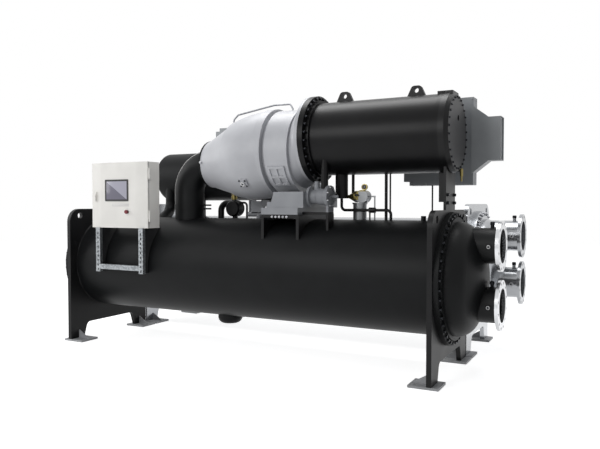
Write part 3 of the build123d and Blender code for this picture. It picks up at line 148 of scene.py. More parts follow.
# %% Soft lamps
def soft_lamp(name, place, target, width, height, power):
    """A rectangular softbox that points at a spot on the machine."""
    lamp = bpy.data.lights.new(name, "AREA")
    lamp.shape = "RECTANGLE"
    lamp.size = width
    lamp.size_y = height
    lamp.energy = power
    box = bpy.data.objects.new(name, lamp)
    box.location = place
    aim = Vector(target) - Vector(place)
    box.rotation_euler = aim.to_track_quat("-Z", "Y").to_euler()
    scene.collection.objects.link(box)


make_world()
make_floor()
soft_lamp("overhead_softbox", (0.0, 0.6, 6.4), (0, 0.2, 1.3), 6.0, 2.4, 270)
soft_lamp("front_softbox", (-1.5, -7.5, 4.2), (0, 0, 1.3), 4.0, 3.0, 195)
soft_lamp("left_softbox", (-6.5, -3.0, 3.5), (0, 0, 1.2), 4.0, 4.0, 145)
scene.view_settings.view_transform = "Standard"
print("world and", len(bpy.data.lights), "lamps")

# %% [markdown]
# ## Finishes: how a paint is built
#
# Paint on a machine is one colour that is never quite even: the tone drifts a little over a hand's
# breadth, the gloss changes with it, and the sprayed film has a fine orange peel. Two noise patterns
# do all of that, a wide one for tone and gloss and a fine one for the bump. Both read Object
# coordinates, and each scale is worked out from a size in millimetres, so nothing slides when the view
# changes. A function makes the whole family of paints, because only the numbers differ.


# %% One way to start a finish
def start_finish(name):
    """A new material with its tree, its main shader and the piece's own coordinates."""
    finish = bpy.data.materials.new(name)
    finish.use_nodes = True
    tree = finish.node_tree
    tree.nodes.clear()
    surface = add_node(tree, "ShaderNodeBsdfPrincipled")
    add_node(tree, "ShaderNodeOutputMaterial", {"Surface": surface.outputs[0]})
    place = add_node(tree, "ShaderNodeTexCoord").outputs["Object"]
    return finish, tree, surface, place


def noise_of_size(tree, place, millimetres, detail=3.0):
    """Noise whose blotches are about so many millimetres across."""
    noise = add_node(tree, "ShaderNodeTexNoise", {"Vector": place},
                     {"Scale": 1000.0 / millimetres, "Detail": detail, "Roughness": 0.5})
    return noise.outputs["Fac"]


def two_tone(tree, factor, dark, light, low=0.35, high=0.65):
    """Blends two colours where a factor runs from low to high."""
    ramp = add_node(tree, "ShaderNodeValToRGB", {"Fac": factor})
    ramp.color_ramp.elements[0].position = low
    ramp.color_ramp.elements[0].color = linear(dark)
    ramp.color_ramp.elements[1].position = high
    ramp.color_ramp.elements[1].color = linear(light)
    return ramp.outputs["Color"]


def span(tree, value, low, high):
    """Moves a 0 to 1 value into the range from low to high."""
    made = add_node(tree, "ShaderNodeMapRange", {"Value": value}, {"To Min": low, "To Max": high})
    return made.outputs["Result"]


def raise_by(tree, surface, height, millimetres):
    """Bump of so many millimetres on a shader."""
    bump = add_node(tree, "ShaderNodeBump", {"Height": height}, {"Distance": millimetres / 1000.0})
    tree.links.new(bump.outputs["Normal"], surface.inputs["Normal"])


# %% The paint family
def painted(name, dark, light, rough, grain_mm, bump_mm, blotch_mm=220.0, metallic=0.0, specular=0.5):
    """Paint: a faint drift of tone, a little spread in gloss and a fine orange peel."""
    finish, tree, surface, place = start_finish(name)
    blotch = noise_of_size(tree, place, blotch_mm, 2.0)
    tree.links.new(two_tone(tree, blotch, dark, light), surface.inputs["Base Color"])
    tree.links.new(span(tree, blotch, rough[0], rough[1]), surface.inputs["Roughness"])
    surface.inputs["Metallic"].default_value = metallic
    surface.inputs["Specular IOR Level"].default_value = specular
    raise_by(tree, surface, noise_of_size(tree, place, grain_mm, 2.0), bump_mm)
    return finish


# %% Finishes of the large surfaces
# Closed-cell foam with a rubbery coat: near black, with a broad soft sheen and a slightly pebbled skin.
foam = painted("closed_cell_foam_coat", "#0E0F10", "#121314", (0.42, 0.5), 12.0, 0.4, specular=0.13)
# Enamel on hot-rolled plate: near black, tighter sheen than the foam.
frame_enamel = painted("black_plate_enamel", "#111112", "#161617", (0.36, 0.46), 5.0, 0.2, specular=0.2)
# Enamel on the turned motor housing: the smoothest of the blacks, with one long highlight.
motor_enamel = painted("black_motor_enamel", "#0E0E0F", "#121213", (0.3, 0.38), 5.0, 0.1, specular=0.14)
# Aluminium-flake paint on the condenser: bright, half metallic, with soft reflections.
silver_enamel = painted("aluminium_flake_enamel", "#A3A5A8", "#ADAFB2", (0.18, 0.26), 4.0, 0.05, metallic=0.9)
# The base plates carry a matt primer grey.
plate_enamel = painted("grey_base_enamel", "#9D9EA0", "#AEAFB1", (0.42, 0.55), 4.0, 0.25)
# Sprayed enamel over a sand casting: pale blue-grey, with a coarser skin than sheet metal has.
casting_enamel = painted("light_grey_casting_enamel", "#AFB0B4", "#B5B6BA", (0.36, 0.44), 7.0, 0.3)
# The machined foot and the oil cooler get a darker grey than the casting enamel above them.
foot_enamel = painted("mid_grey_casting_enamel", "#838589", "#8D8F93", (0.36, 0.46), 6.0, 0.3)
# Bracket plates: a charcoal coat, a shade lighter than the shell behind them.
bracket_enamel = painted("charcoal_bracket_enamel", "#2A2A2B", "#303031", (0.4, 0.5), 5.0, 0.2, specular=0.3)
box_enamel = painted("mid_grey_sheet_enamel", "#929597", "#9A9D9F", (0.34, 0.46), 4.0, 0.2)
# Powder coat on the cabinet: warm off-white with a fine pebbled texture.
powder_coat = painted("off_white_powder_coat", "#DEDCD7", "#E4E2DD", (0.4, 0.5), 3.0, 0.25)
print(len(bpy.data.materials), "finishes so far")

# %% [markdown]
# ## Finishes: bare metals and plastics
#
# Galvanised sheet shows zinc spangle, flat crystals a centimetre or two across that each catch the
# light differently. A Voronoi pattern gives every crystal its own tone and gloss. Turned steel and
# brass show fine tool marks round their axis, and moulded plastic has a faint even grain.


# %% Zinc spangle
def spangled_zinc(name, crystal_mm):
    """Hot-dip zinc: flat crystals, each with its own tone and gloss."""
    finish, tree, surface, place = start_finish(name)
    crystals = add_node(tree, "ShaderNodeTexVoronoi", {"Vector": place}, {"Scale": 1000.0 / crystal_mm})
    tone = add_node(tree, "ShaderNodeSeparateColor", {"Color": crystals.outputs["Color"]}).outputs[0]
    tree.links.new(two_tone(tree, tone, "#7F8386", "#A4A8AB", 0.1, 0.9), surface.inputs["Base Color"])
    tree.links.new(span(tree, tone, 0.3, 0.48), surface.inputs["Roughness"])
    surface.inputs["Metallic"].default_value = 0.85
    return finish


zinc = spangled_zinc("galvanised_sheet", 14.0)


# %% Turned metals
def turned_metal(name, dark, light, rough, mark_mm):
    """Machined bar: fine tool marks, worn a little unevenly."""
    finish, tree, surface, place = start_finish(name)
    wear = noise_of_size(tree, place, 30.0)
    tree.links.new(two_tone(tree, wear, dark, light), surface.inputs["Base Color"])
    tree.links.new(span(tree, wear, rough[0], rough[1]), surface.inputs["Roughness"])
    surface.inputs["Metallic"].default_value = 1.0
    raise_by(tree, surface, noise_of_size(tree, place, mark_mm, 1.0), 0.05)
    return finish


steel = turned_metal("turned_steel", "#A6A7AA", "#BDBEC1", (0.22, 0.36), 2.0)
tube_steel = turned_metal("bare_steel_tube", "#76777B", "#8E8F93", (0.3, 0.42), 3.0)
brass = turned_metal("turned_brass", "#9A8A4E", "#B4A25E", (0.26, 0.4), 2.0)
black_bolt = turned_metal("black_oxide_steel", "#26272A", "#303134", (0.34, 0.46), 2.0)


# %% Moulded plastics
def moulded(name, dark, light, rough, grain_mm=1.5):
    """Injection-moulded plastic: an even colour under a fine spark-eroded grain."""
    finish, tree, surface, place = start_finish(name)
    grain = noise_of_size(tree, place, grain_mm, 1.0)
    tree.links.new(two_tone(tree, grain, dark, light), surface.inputs["Base Color"])
    surface.inputs["Roughness"].default_value = rough
    raise_by(tree, surface, grain, 0.05)
    return finish


bezel_plastic = moulded("black_bezel_abs", "#131315", "#19191C", 0.36)
button_plastic = moulded("dark_red_button_abs", "#6A1220", "#7C1826", 0.3)
white_nylon = moulded("white_nylon", "#DADADA", "#E8E8E8", 0.45)
breaker_plastic = moulded("grey_breaker_polyamide", "#B9BBBD", "#C6C8CA", 0.5)
duct_plastic = moulded("grey_duct_pvc", "#83878B", "#8F9397", 0.5)
terminal_plastic = moulded("beige_terminal_polyamide", "#B7AE98", "#C4BBA6", 0.5)
# This pale film colours the label strip, and also the strip on the elbow, where it is a painted highlight.
label_and_highlight_film = moulded("blank_label_film_and_painted_highlight", "#CFCDCA", "#D8D6D3", 0.4)
print(len(bpy.data.materials), "finishes in all")

# %% [markdown]
# ## Two finishes on one solid
#
# The evaporator's nozzles wear foam, but their flanges are bare steel, and the strainer is steel with
# a brass body. Each is one solid, so one material has to hold both looks. It reads the place on the
# solid and switches over at a plane, which is exact, and the mesh stays untouched.


# %% A finish that changes at planes
def beyond(tree, parts, tests):
    """1 where the place passes every test; each test is (axis, sign, plane)."""
    passed = None
    for axis, sign, plane in tests:
        kind = "GREATER_THAN" if sign > 0 else "LESS_THAN"
        step = add_node(tree, "ShaderNodeMath", {0: parts.outputs[axis]}, {1: plane}, operation=kind).outputs[0]
        passed = step if passed is None else add_node(tree, "ShaderNodeMath", {0: passed, 1: step},
                                                      operation="MULTIPLY").outputs[0]
    return passed


def layered(name, base, *changes):
    """A first look, and more looks that take over where their tests pass: (colour, metallic, roughness)."""
    finish, tree, surface, place = start_finish(name)
    parts = add_node(tree, "ShaderNodeSeparateXYZ", {"Vector": place})
    drift = noise_of_size(tree, place, 60.0)
    colour = two_tone(tree, drift, base[0], base[0])
    metallic, rough = span(tree, drift, base[1], base[1]), span(tree, drift, base[2] - 0.04, base[2] + 0.04)
    for tests, look in changes:
        here = beyond(tree, parts, tests)
        colour = add_node(tree, "ShaderNodeMix", {0: here, 6: colour}, {7: linear(look[0])},
                          data_type="RGBA").outputs[2]
        metallic = add_node(tree, "ShaderNodeMix", {0: here, 2: metallic}, {3: look[1]}).outputs[0]
        rough = add_node(tree, "ShaderNodeMix", {0: here, 2: rough}, {3: look[2]}).outputs[0]
    for socket, source in (("Base Color", colour), ("Metallic", metallic), ("Roughness", rough)):
        tree.links.new(source, surface.inputs[socket])
    surface.inputs["Specular IOR Level"].default_value = 0.2
    raise_by(tree, surface, noise_of_size(tree, place, 8.0, 2.0), 0.15)
    return finish


# %% The looks, and the planes where they change over
FOAM_LOOK = ("#111213", 0.0, 0.44)
BLACK_LOOK = ("#101011", 0.0, 0.34)
COVER_LOOK = ("#454546", 0.0, 0.46)
STEEL_LOOK = ("#D2D3D5", 0.9, 0.22)
BRASS_LOOK = ("#83774A", 0.8, 0.3)
DARK_STEEL_LOOK = ("#8E9092", 0.6, 0.32)
CONDUIT_LOOK = ("#1A1A1B", 0.0, 0.4)
BOX_LOOK = ("#979A9D", 0.0, 0.4)
PUMP_LOOK = ("#888A8E", 0.0, 0.41)
FLANGE_THICK = 0.030
COVER_THICK = 0.092
SKIN = 0.0005

nozzle_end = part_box("evaporator_nozzle_upper")[1][0]
nozzle_finish = layered("foam_pipe_with_steel_flange", FOAM_LOOK,
                        ([(0, 1, nozzle_end - FLANGE_THICK - SKIN)], STEEL_LOOK))
cover_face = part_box("motor_end_cover")[0][0] + COVER_THICK
cover_finish = layered("motor_cover_with_brass_valve", BLACK_LOOK, ([(0, 1, cover_face - SKIN)], COVER_LOOK),
                       ([(0, 1, cover_face + SKIN)], BRASS_LOOK))
STRAINER_CAP_DROP = 0.160
CAP_FRONT = 1.128
strainer_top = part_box("strainer")[1][2]
strainer_finish = layered("strainer_steel_and_brass", DARK_STEEL_LOOK,
                          ([(2, 1, strainer_top - STRAINER_CAP_DROP), (0, -1, CAP_FRONT)], BRASS_LOOK),
                          ([(2, 1, strainer_top - 0.075)], BRASS_LOOK))
bypass_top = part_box("bypass_line")[1][2]
BONNET_LONG = 0.075
bypass_finish = layered("black_line_with_brass_bonnet", BLACK_LOOK,
                        ([(2, 1, bypass_top - BONNET_LONG)], BRASS_LOOK))
box_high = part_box("terminal_box")[1]
CONDUIT_TOP = 1.767
terminal_finish = layered("terminal_box_enamel", CONDUIT_LOOK, ([(2, 1, CONDUIT_TOP)], BOX_LOOK))
PUMP_LEG_TOP = 1.500
pump_finish = layered("pump_casting_on_black_leg", BLACK_LOOK, ([(2, 1, PUMP_LEG_TOP)], PUMP_LOOK))
print("flange starts at", round(nozzle_end - FLANGE_THICK, 3), "cover face at", round(cover_face, 3))

# %% Give every solid its finish
FINISH = {
    foam: ("evaporator_shell", "evaporator_water_box_left", "evaporator_water_box_right", "suction_elbow",
           "suction_riser", "economiser_vessel", "economiser_pipes", "oil_sump"),
    nozzle_finish: ("evaporator_nozzle_upper", "evaporator_nozzle_lower"),
    frame_enamel: ("evaporator_tube_plate_left", "evaporator_tube_plate_right", "compressor_saddle",
                   "motor_post", "economiser_saddles"),
    motor_enamel: ("motor_housing", "motor_drain_pipe", "refrigerant_line", "motor_tubes"),
    cover_finish: ("motor_end_cover",),
    bypass_finish: ("bypass_line",),
    bracket_enamel: ("cabinet_brackets",),
    terminal_finish: ("terminal_box",),
    foot_enamel: ("compressor_pedestal", "oil_cooler"),
    pump_finish: ("oil_pump",),
    silver_enamel: ("condenser_shell", "condenser_tube_plate_left", "condenser_tube_plate_right",
                    "condenser_water_box_left", "condenser_water_box_right", "condenser_nozzle_upper",
                    "condenser_nozzle_lower", "discharge_pipe", "liquid_line"),
    plate_enamel: ("evaporator_feet_left", "evaporator_feet_right", "condenser_feet_left",
                   "condenser_feet_right"),
    casting_enamel: ("inlet_housing", "scroll_casing", "gear_casing"),
    box_enamel: ("terminal_duct", "vane_actuator"),
    powder_coat: ("cabinet", "cabinet_door", "door_lock"),
    zinc: ("mounting_plate", "strut_frame"),
    strainer_finish: ("strainer",),
    tube_steel: ("oil_tube",),
    bezel_plastic: ("display_screen", "stop_housing"),
    button_plastic: ("stop_button",),
}
for finish, names in FINISH.items():
    for name in names:
        nodes[name].data.materials.clear()
        nodes[name].data.materials.append(finish)
print(sum(len(names) for names in FINISH.values()), "of", len(nodes), "solids have their finish")

# %% [markdown]
# ## Working by hand, in code
#
# New pieces are modelled as you would by hand: add a primitive at its size, go to edit mode, select
# faces, then inset, extrude, bevel or spin them. Two habits make that safe in a script. Everything is
# deselected first, because an operator acts on all that is selected, and faces are picked by where they
# are or where they point, never by a number that changes with the mesh.


# %% Helpers for the workbench
def clear_bench():
    """Back to object mode with nothing selected."""
    if bpy.context.mode != "OBJECT":
        bpy.ops.object.mode_set(mode="OBJECT")
    bpy.ops.object.select_all(action="DESELECT")


def begin(name):
    """Names the piece just added and moves its place into its mesh."""
    bpy.ops.object.transform_apply(location=True, rotation=True, scale=True)
    bpy.context.object.name = name
    return bpy.context.object


def edit_faces(piece, test):
    """Edit mode with only those faces selected whose middle and normal pass a test."""
    if bpy.context.mode != "OBJECT":
        bpy.ops.object.mode_set(mode="OBJECT")
    mesh = piece.data
    mesh.vertices.foreach_set("select", [False] * len(mesh.vertices))
    mesh.edges.foreach_set("select", [False] * len(mesh.edges))
    mesh.polygons.foreach_set("select", [test(face.center, face.normal) for face in mesh.polygons])
    bpy.ops.object.mode_set(mode="EDIT")


def complete(piece, finish, body="chiller", smooth=35):
    """Shades the piece, gives it its finish and lets it ride on its body."""
    clear_bench()
    piece.select_set(True)
    bpy.context.view_layer.objects.active = piece
    bpy.ops.object.shade_smooth_by_angle(angle=radians(smooth))
    piece.data.materials.clear()
    piece.data.materials.append(finish)
    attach(piece, body)
    print(piece.name, len(piece.data.polygons), "faces")


def middle(node):
    """The middle of a node's box."""
    low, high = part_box(node)
    return [(low[n] + high[n]) / 2 for n in range(3)]


bpy.context.tool_settings.mesh_select_mode = (False, False, True)

# %% [markdown]
# ## Bolts
#
# A machine like this is held together by several hundred bolts, and their even rows are what the eye
# reads as real. One bolt head is modelled once: a round washer, and a hexagon whose top is inset and
# raised, which is the chamfer that every real bolt head has. It costs a few dozen faces. A ring of
# bolts is copies of it, each with its own mesh, joined into one piece.


# %% One bolt head
def bolt_model(across):
    """A hexagon head on its washer, standing upright at the origin."""
    washer, head = across * 0.14, across * 0.62
    clear_bench()
    bpy.ops.mesh.primitive_cylinder_add(vertices=16, radius=across * 0.72, depth=washer,
                                        location=(0, 0, washer / 2))
    model = begin("bolt_model")
    bpy.ops.object.mode_set(mode="EDIT")
    bpy.ops.mesh.select_all(action="DESELECT")
    bpy.ops.mesh.primitive_cylinder_add(vertices=6, radius=across / 2 / cos(pi / 6), depth=head,
                                        location=(0, 0, washer + head / 2))
    edit_faces(model, lambda place, normal: place.z > washer + head * 0.99)
    bpy.ops.mesh.inset(thickness=across * 0.07)
    bpy.ops.transform.translate(value=(0, 0, head * 0.12))
    clear_bench()
    return model


# %% One stud with its nut
def stud_model(across):
    """A nut on its washer with the end of the stud standing through it."""
    model = bolt_model(across)
    edit_faces(model, lambda place, normal: normal.z > 0.9 and place.z > across * 0.5)
    bpy.ops.mesh.inset(thickness=across * 0.13)
    bpy.ops.mesh.extrude_region_move(TRANSFORM_OT_translate={"value": (0, 0, across * 0.42)})
    bpy.ops.transform.resize(value=(0.82, 0.82, 1.0))
    clear_bench()
    return model


# %% Copies on their places
def copies(name, model, places, finish, body="chiller"):
    """Copies of a model, each with its own mesh, set on (place, direction) and joined."""
    clear_bench()
    for place, direction in places:
        twin = model.copy()
        twin.data = model.data.copy()
        scene.collection.objects.link(twin)
        turn = Vector(direction).to_track_quat("Z", "Y").to_matrix().to_4x4()
        twin.matrix_world = Matrix.Translation(place) @ turn
        twin.select_set(True)
        bpy.context.view_layer.objects.active = twin
    if len(places) > 1:
        bpy.ops.object.join()
    complete(begin(name), finish, body)


def ring_places(x, y, z, radius, count, side):
    """Evenly spaced places round an axis along X, all facing to one side."""
    turns = [2 * pi * (n + 0.5) / count for n in range(count)]
    return [((x, y + radius * cos(turn), z + radius * sin(turn)), (side, 0, 0)) for turn in turns]


# %% Water-box bolts of both exchangers
RING_THICK = 0.046
HUB_STEP = 0.040
HEAD_INSET = 0.007
EVAPORATOR_BOLTS = 44
CONDENSER_STUDS = 36

bolt = bolt_model(0.024)
stud = stud_model(0.027)
AXIS = {}
for name in ("evaporator", "condenser"):
    low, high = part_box(name + "_shell")
    radius = (high[1] - low[1]) / 2
    AXIS[name] = ((low[1] + high[1]) / 2, low[2] + radius, radius)
WATER_BOX_BOLTS = (("evaporator", bolt, EVAPORATOR_BOLTS, black_bolt, "black_frame_paint"),
                   ("condenser", stud, CONDENSER_STUDS, steel, "silver_paint"))
for name, model, count, finish, slot in WATER_BOX_BOLTS:
    y, z, radius = AXIS[name]
    ring_low, ring_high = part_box(name + "_water_box_right")
    bolt_radius = ((ring_high[1] - ring_low[1]) / 2 + radius - HEAD_INSET + HUB_STEP) / 2
    for side, hand in ((-1, "left"), (1, "right")):
        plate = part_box(f"{name}_tube_plate_{hand}")[1 if side > 0 else 0][0]
        places = ring_places(plate + side * RING_THICK, y, z, bolt_radius, count, side)
        copies(f"{name}_{hand}_ring_bolts", model, places, finish)

# %% Bolts of the motor, the suction flange and the pump
MOTOR_FLANGE = 0.058
COVER_BOLT_RADIUS = 0.328
PUMP_Z, PUMP_DISC_R = 1.652, 0.108
PUMP_SHAFT = 0.076
motor_low, motor_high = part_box("motor_housing")
motor_y = (motor_low[1] + motor_high[1]) / 2
motor_flange_r = (motor_high[1] - motor_low[1]) / 2
motor_z = motor_low[2] + motor_flange_r
small_bolt = bolt_model(0.016)
copies("motor_flange_bolts", bolt, ring_places(motor_low[0] + MOTOR_FLANGE, motor_y, motor_z,
                                               motor_flange_r - 0.026, 32, 1), black_bolt)
copies("motor_cover_bolts", small_bolt, ring_places(cover_face, motor_y, motor_z, COVER_BOLT_RADIUS, 28, 1),
       black_bolt)
elbow_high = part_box("suction_elbow")[1]
SUCTION_FLANGE_R, SUCTION_FLANGE = 0.258, 0.024
suction_z = elbow_high[2] - SUCTION_FLANGE_R
copies("suction_flange_bolts", bolt,
       ring_places(elbow_high[0] - SUCTION_FLANGE, motor_y, suction_z, 0.222, 16, -1), black_bolt)
pump_low, pump_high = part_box("oil_pump")
pump_y = pump_low[1] + PUMP_DISC_R
copies("pump_disc_bolts", small_bolt, ring_places(pump_high[0] - PUMP_SHAFT, pump_y, PUMP_Z, 0.096, 8, 1),
       steel)

# %% Bolts in straight rows
SADDLE_ROW = [(0.392 + 0.041 * n, 1.453) for n in range(5)]
saddle_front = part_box("compressor_saddle")[0][1]
copies("saddle_front_bolts", small_bolt, [((x, saddle_front, z), (0, -1, 0)) for x, z in SADDLE_ROW], steel)
FOOT_FLANGE_TOP = 1.542
foot_low, foot_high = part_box("compressor_pedestal")
FOOT_ROW = [foot_low[1] + 0.06 + n * (foot_high[1] - foot_low[1] - 0.12) / 5 for n in range(6)]
copies("pedestal_foot_bolts", bolt, [((foot_low[0] + 0.030, y, FOOT_FLANGE_TOP), (0, 0, 1)) for y in FOOT_ROW],
       steel)
post_low, post_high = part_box("motor_post")
POST_EDGE = 0.045
POST_ROW = [(y, z) for y in (post_high[1] - POST_EDGE, post_low[1] + POST_EDGE) for z in (1.590, 1.664)]
copies("post_bolts", bolt, [((post_high[0], y, z), (1, 0, 0)) for y, z in POST_ROW], black_bolt)
BOX_LONG, BOX_BOTTOM = 0.644, 1.768
BOX_X0 = box_high[0] - BOX_LONG
BOX_EDGE = 0.018
BOX_FRONT_Y = -0.1025
BOX_PITCH = 0.152
BOX_ROW = [(BOX_X0 + BOX_EDGE + n * BOX_PITCH, z) for n in range(5)
           for z in (BOX_BOTTOM + BOX_EDGE, box_high[2] - BOX_EDGE)]
copies("terminal_box_screws", small_bolt, [((x, BOX_FRONT_Y, z), (0, -1, 0)) for x, z in BOX_ROW], box_enamel)

# %% [markdown]
# ## Weld beads
#
# Each shell is welded to its tube plates, and each flange to its pipe. A weld bead is a ring of
# overlapping ripples. It starts as a torus, and a small seeded jitter in edit mode breaks up its
# perfect round, which is all that a bead needs at this size.


# %% A ring of weld
def weld_ring(name, x, y, z, radius, thick, finish):
    """A slightly uneven bead round an axis along X."""
    clear_bench()
    bpy.ops.mesh.primitive_torus_add(major_radius=radius, minor_radius=thick, major_segments=96,
                                     minor_segments=8, location=(x, y, z), rotation=(0, pi / 2, 0))
    bead = begin(name)
    edit_faces(bead, lambda place, normal: True)
    bpy.ops.transform.vertex_random(offset=thick * 0.18, uniform=0.0, normal=1.0, seed=7)
    complete(bead, finish)


WELD = 0.007
for name, finish, slot in (("evaporator", frame_enamel, "black_frame_paint"),
                           ("condenser", silver_enamel, "silver_paint")):
    y, z, radius = AXIS[name]
    for side, hand in ((-1, "left"), (1, "right")):
        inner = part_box(f"{name}_shell")[1 if side > 0 else 0][0]
        weld_ring(f"{name}_{hand}_shell_weld", inner, y, z, radius, WELD, finish)
NOZZLE_R = 0.162
for name, spots in (("evaporator", ("upper", "lower")), ("condenser", ("upper", "lower"))):
    for spot in spots:
        node = f"{name}_nozzle_{spot}"
        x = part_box(node)[1][0] - FLANGE_THICK
        finish, slot = (steel, "silver_paint") if name == "condenser" else (black_bolt, "black_frame_paint")
        weld_ring(f"{node}_weld", x, middle(node)[1], middle(node)[2], NOZZLE_R, 0.006, finish)

# %% [markdown]
# ## Instrument plugs on the nozzles
#
# Each nozzle has a thermometer pocket in front and a vent on top. The pocket is closed by a dark
# square-headed plug in a pale nylon ring, and the vent by a black cap. The ring is a torus squeezed
# flat, and the cap is a cylinder whose top is inset and drawn in.


# %% Rings, plugs and caps
def flat_ring(name, place, direction, radius, thick, finish, body="chiller"):
    """A torus squeezed to half its thickness, facing along a direction."""
    clear_bench()
    bpy.ops.mesh.primitive_torus_add(major_radius=radius, minor_radius=thick, major_segments=32,
                                     minor_segments=10)
    ring = begin(name)
    edit_faces(ring, lambda place, normal: True)
    bpy.ops.transform.resize(value=(1.0, 1.0, 0.5))
    clear_bench()
    turn = Vector(direction).to_track_quat("Z", "Y").to_matrix().to_4x4()
    ring.data.transform(Matrix.Translation(place) @ turn)
    complete(ring, finish, body)


def cap_model(radius, height):
    """A round cap with a drawn-in crown, upright at the origin."""
    clear_bench()
    bpy.ops.mesh.primitive_cylinder_add(vertices=24, radius=radius, depth=height, location=(0, 0, height / 2))
    cap = begin("cap_model")
    edit_faces(cap, lambda place, normal: normal.z > 0.9)
    bpy.ops.mesh.inset(thickness=radius * 0.25)
    bpy.ops.transform.translate(value=(0, 0, height * 0.2))
    bpy.ops.mesh.inset(thickness=radius * 0.2)
    bpy.ops.transform.translate(value=(0, 0, -height * 0.15))
    clear_bench()
    return cap


# %% Set them on the four nozzles
BOSS_FROM_FACE, BOSS_LONG = 0.092, 0.026
cap = cap_model(0.021, 0.024)
plug = cap_model(0.009, 0.007)
fronts, tops = [], []
for node in ("evaporator_nozzle_upper", "evaporator_nozzle_lower", "condenser_nozzle_upper",
             "condenser_nozzle_lower"):
    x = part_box(node)[1][0] - BOSS_FROM_FACE
    y, z = middle(node)[1:]
    front = (x, y - NOZZLE_R - BOSS_LONG, z)
    flat_ring(f"{node}_pocket_ring", front, (0, -1, 0), 0.0125, 0.004, white_nylon)
    fronts.append((front, (0, -1, 0)))
    tops.append(((x, y, z + NOZZLE_R + BOSS_LONG), (0, 0, 1)))
copies("nozzle_pocket_plugs", plug, fronts, black_bolt)
copies("nozzle_vent_caps", cap, tops, black_bolt)

# %% The scroll's port and the small marks on the end frame
PORT_TURN = radians(39)
SCROLL_X, SCROLL_Z, SCROLL_R = 0.0259, 2.088, 0.458
PAD_HIGH, BOSS_HIGH = 0.016, 0.032
PAD_CORNER = 0.034
out = Vector((0, -cos(PORT_TURN), -sin(PORT_TURN)))
down = Vector((0, sin(PORT_TURN), -cos(PORT_TURN)))
port_middle = Vector((SCROLL_X, motor_y, SCROLL_Z))
corners = [port_middle + out * (SCROLL_R + PAD_HIGH) + Vector((dx, 0, 0)) * PAD_CORNER + down * dz * PAD_CORNER
           for dx in (-1, 1) for dz in (-1, 1)]
port_bolt = bolt_model(0.013)
copies("port_bolts", port_bolt, [(place, out) for place in corners], black_bolt)
flat_ring("port_ring", port_middle + out * (SCROLL_R + BOSS_HIGH), out, 0.019, 0.006, white_nylon)
copies("port_plug", plug, [(port_middle + out * (SCROLL_R + BOSS_HIGH - 0.004), out)], black_bolt)
PLATE_MARK_Y, PLATE_MARK_Z = -1.1005, 1.128
inner_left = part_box("evaporator_tube_plate_left")[1][0]
flat_ring("end_frame_mark", (inner_left, PLATE_MARK_Y, PLATE_MARK_Z), (1, 0, 0), 0.016, 0.003, black_bolt)
RIM_BOLT = Vector((-0.583, -0.8120, 2.029))
copies("inlet_rim_bolt", bolt, [(RIM_BOLT, (0, -1, 0))], steel)

# %% [markdown]
# ## A painted highlight on the suction elbow
#
# The elbow is wrapped in foam sheet. A thin pale raised line along the outside of the bend is a painted
# highlight, standing for the rim light on the bend. It is a small circle, spun a quarter turn about the bend's
# own centre in edit mode, and its end is then drawn straight down beside the riser.

# %% Spin the painted highlight strip
HIGHLIGHT_STRIP_R = 0.0035
SUCTION_R = 0.165
HIGHLIGHT_STRIP_Y = -0.088
BEND_R = 0.308
HIGHLIGHT_STRIP_DOWN = 0.14
bend_x, bend_z = elbow_high[0] - SUCTION_FLANGE - 0.005, suction_z - BEND_R
highlight_strip_out = BEND_R + (SUCTION_R ** 2 - HIGHLIGHT_STRIP_Y ** 2) ** 0.5
clear_bench()
bpy.ops.mesh.primitive_circle_add(vertices=8, radius=HIGHLIGHT_STRIP_R, fill_type="NGON", rotation=(0, pi / 2, 0),
                                  location=(bend_x, motor_y + HIGHLIGHT_STRIP_Y, bend_z + highlight_strip_out))
# A pale strip that stands for the rim highlight on the bend: painted light.
highlight_strip = begin("elbow_painted_rim_highlight")
edit_faces(highlight_strip, lambda place, normal: True)
bpy.ops.mesh.spin(steps=40, angle=pi / 2, center=(bend_x, motor_y, bend_z), axis=(0, 1, 0))
bpy.ops.mesh.extrude_region_move(TRANSFORM_OT_translate={"value": (0, 0, -HIGHLIGHT_STRIP_DOWN)})
bpy.ops.mesh.select_all(action="SELECT")
bpy.ops.mesh.remove_doubles(threshold=0.0001)
bpy.ops.mesh.normals_make_consistent(inside=False)
highlight_strip_low = min(vertex.co.z for vertex in highlight_strip.data.vertices)
complete(highlight_strip, label_and_highlight_film)
print("seam reaches down to", round(highlight_strip_low, 3))

# %% [markdown]
# ## The cabinet's face
#
# The display is a dark glass pane in a black bezel. On it is a painted reflection of the studio: two flat
# lilac greys, switched along the pane's diagonal. Below it is a blank
# label strip. A rubber edge trim closes the gap behind the door.


# %% Glass with a painted two-tone reflection
def glass_with_painted_reflection(name, low, high):
    """Glass with a painted reflection: a light and a dark lilac, parted by the pane's diagonal."""
    finish, tree, surface, place = start_finish(name)
    parts = add_node(tree, "ShaderNodeSeparateXYZ", {"Vector": place})
    across = add_node(tree, "ShaderNodeMapRange", {"Value": parts.outputs[0]},
                      {"From Min": low[0], "From Max": high[0]}).outputs["Result"]
    up = add_node(tree, "ShaderNodeMapRange", {"Value": parts.outputs[2]},
                  {"From Min": low[2], "From Max": high[2]}).outputs["Result"]
    total = add_node(tree, "ShaderNodeMath", {0: across, 1: up}, operation="ADD").outputs[0]
    # The two lilac greys are a painted reflection of the studio, fixed to the pane.
    tree.links.new(two_tone(tree, total, "#6D6B79", "#A6A5B2", 0.985, 1.0), surface.inputs["Base Color"])
    surface.inputs["Roughness"].default_value = 0.12
    return finish


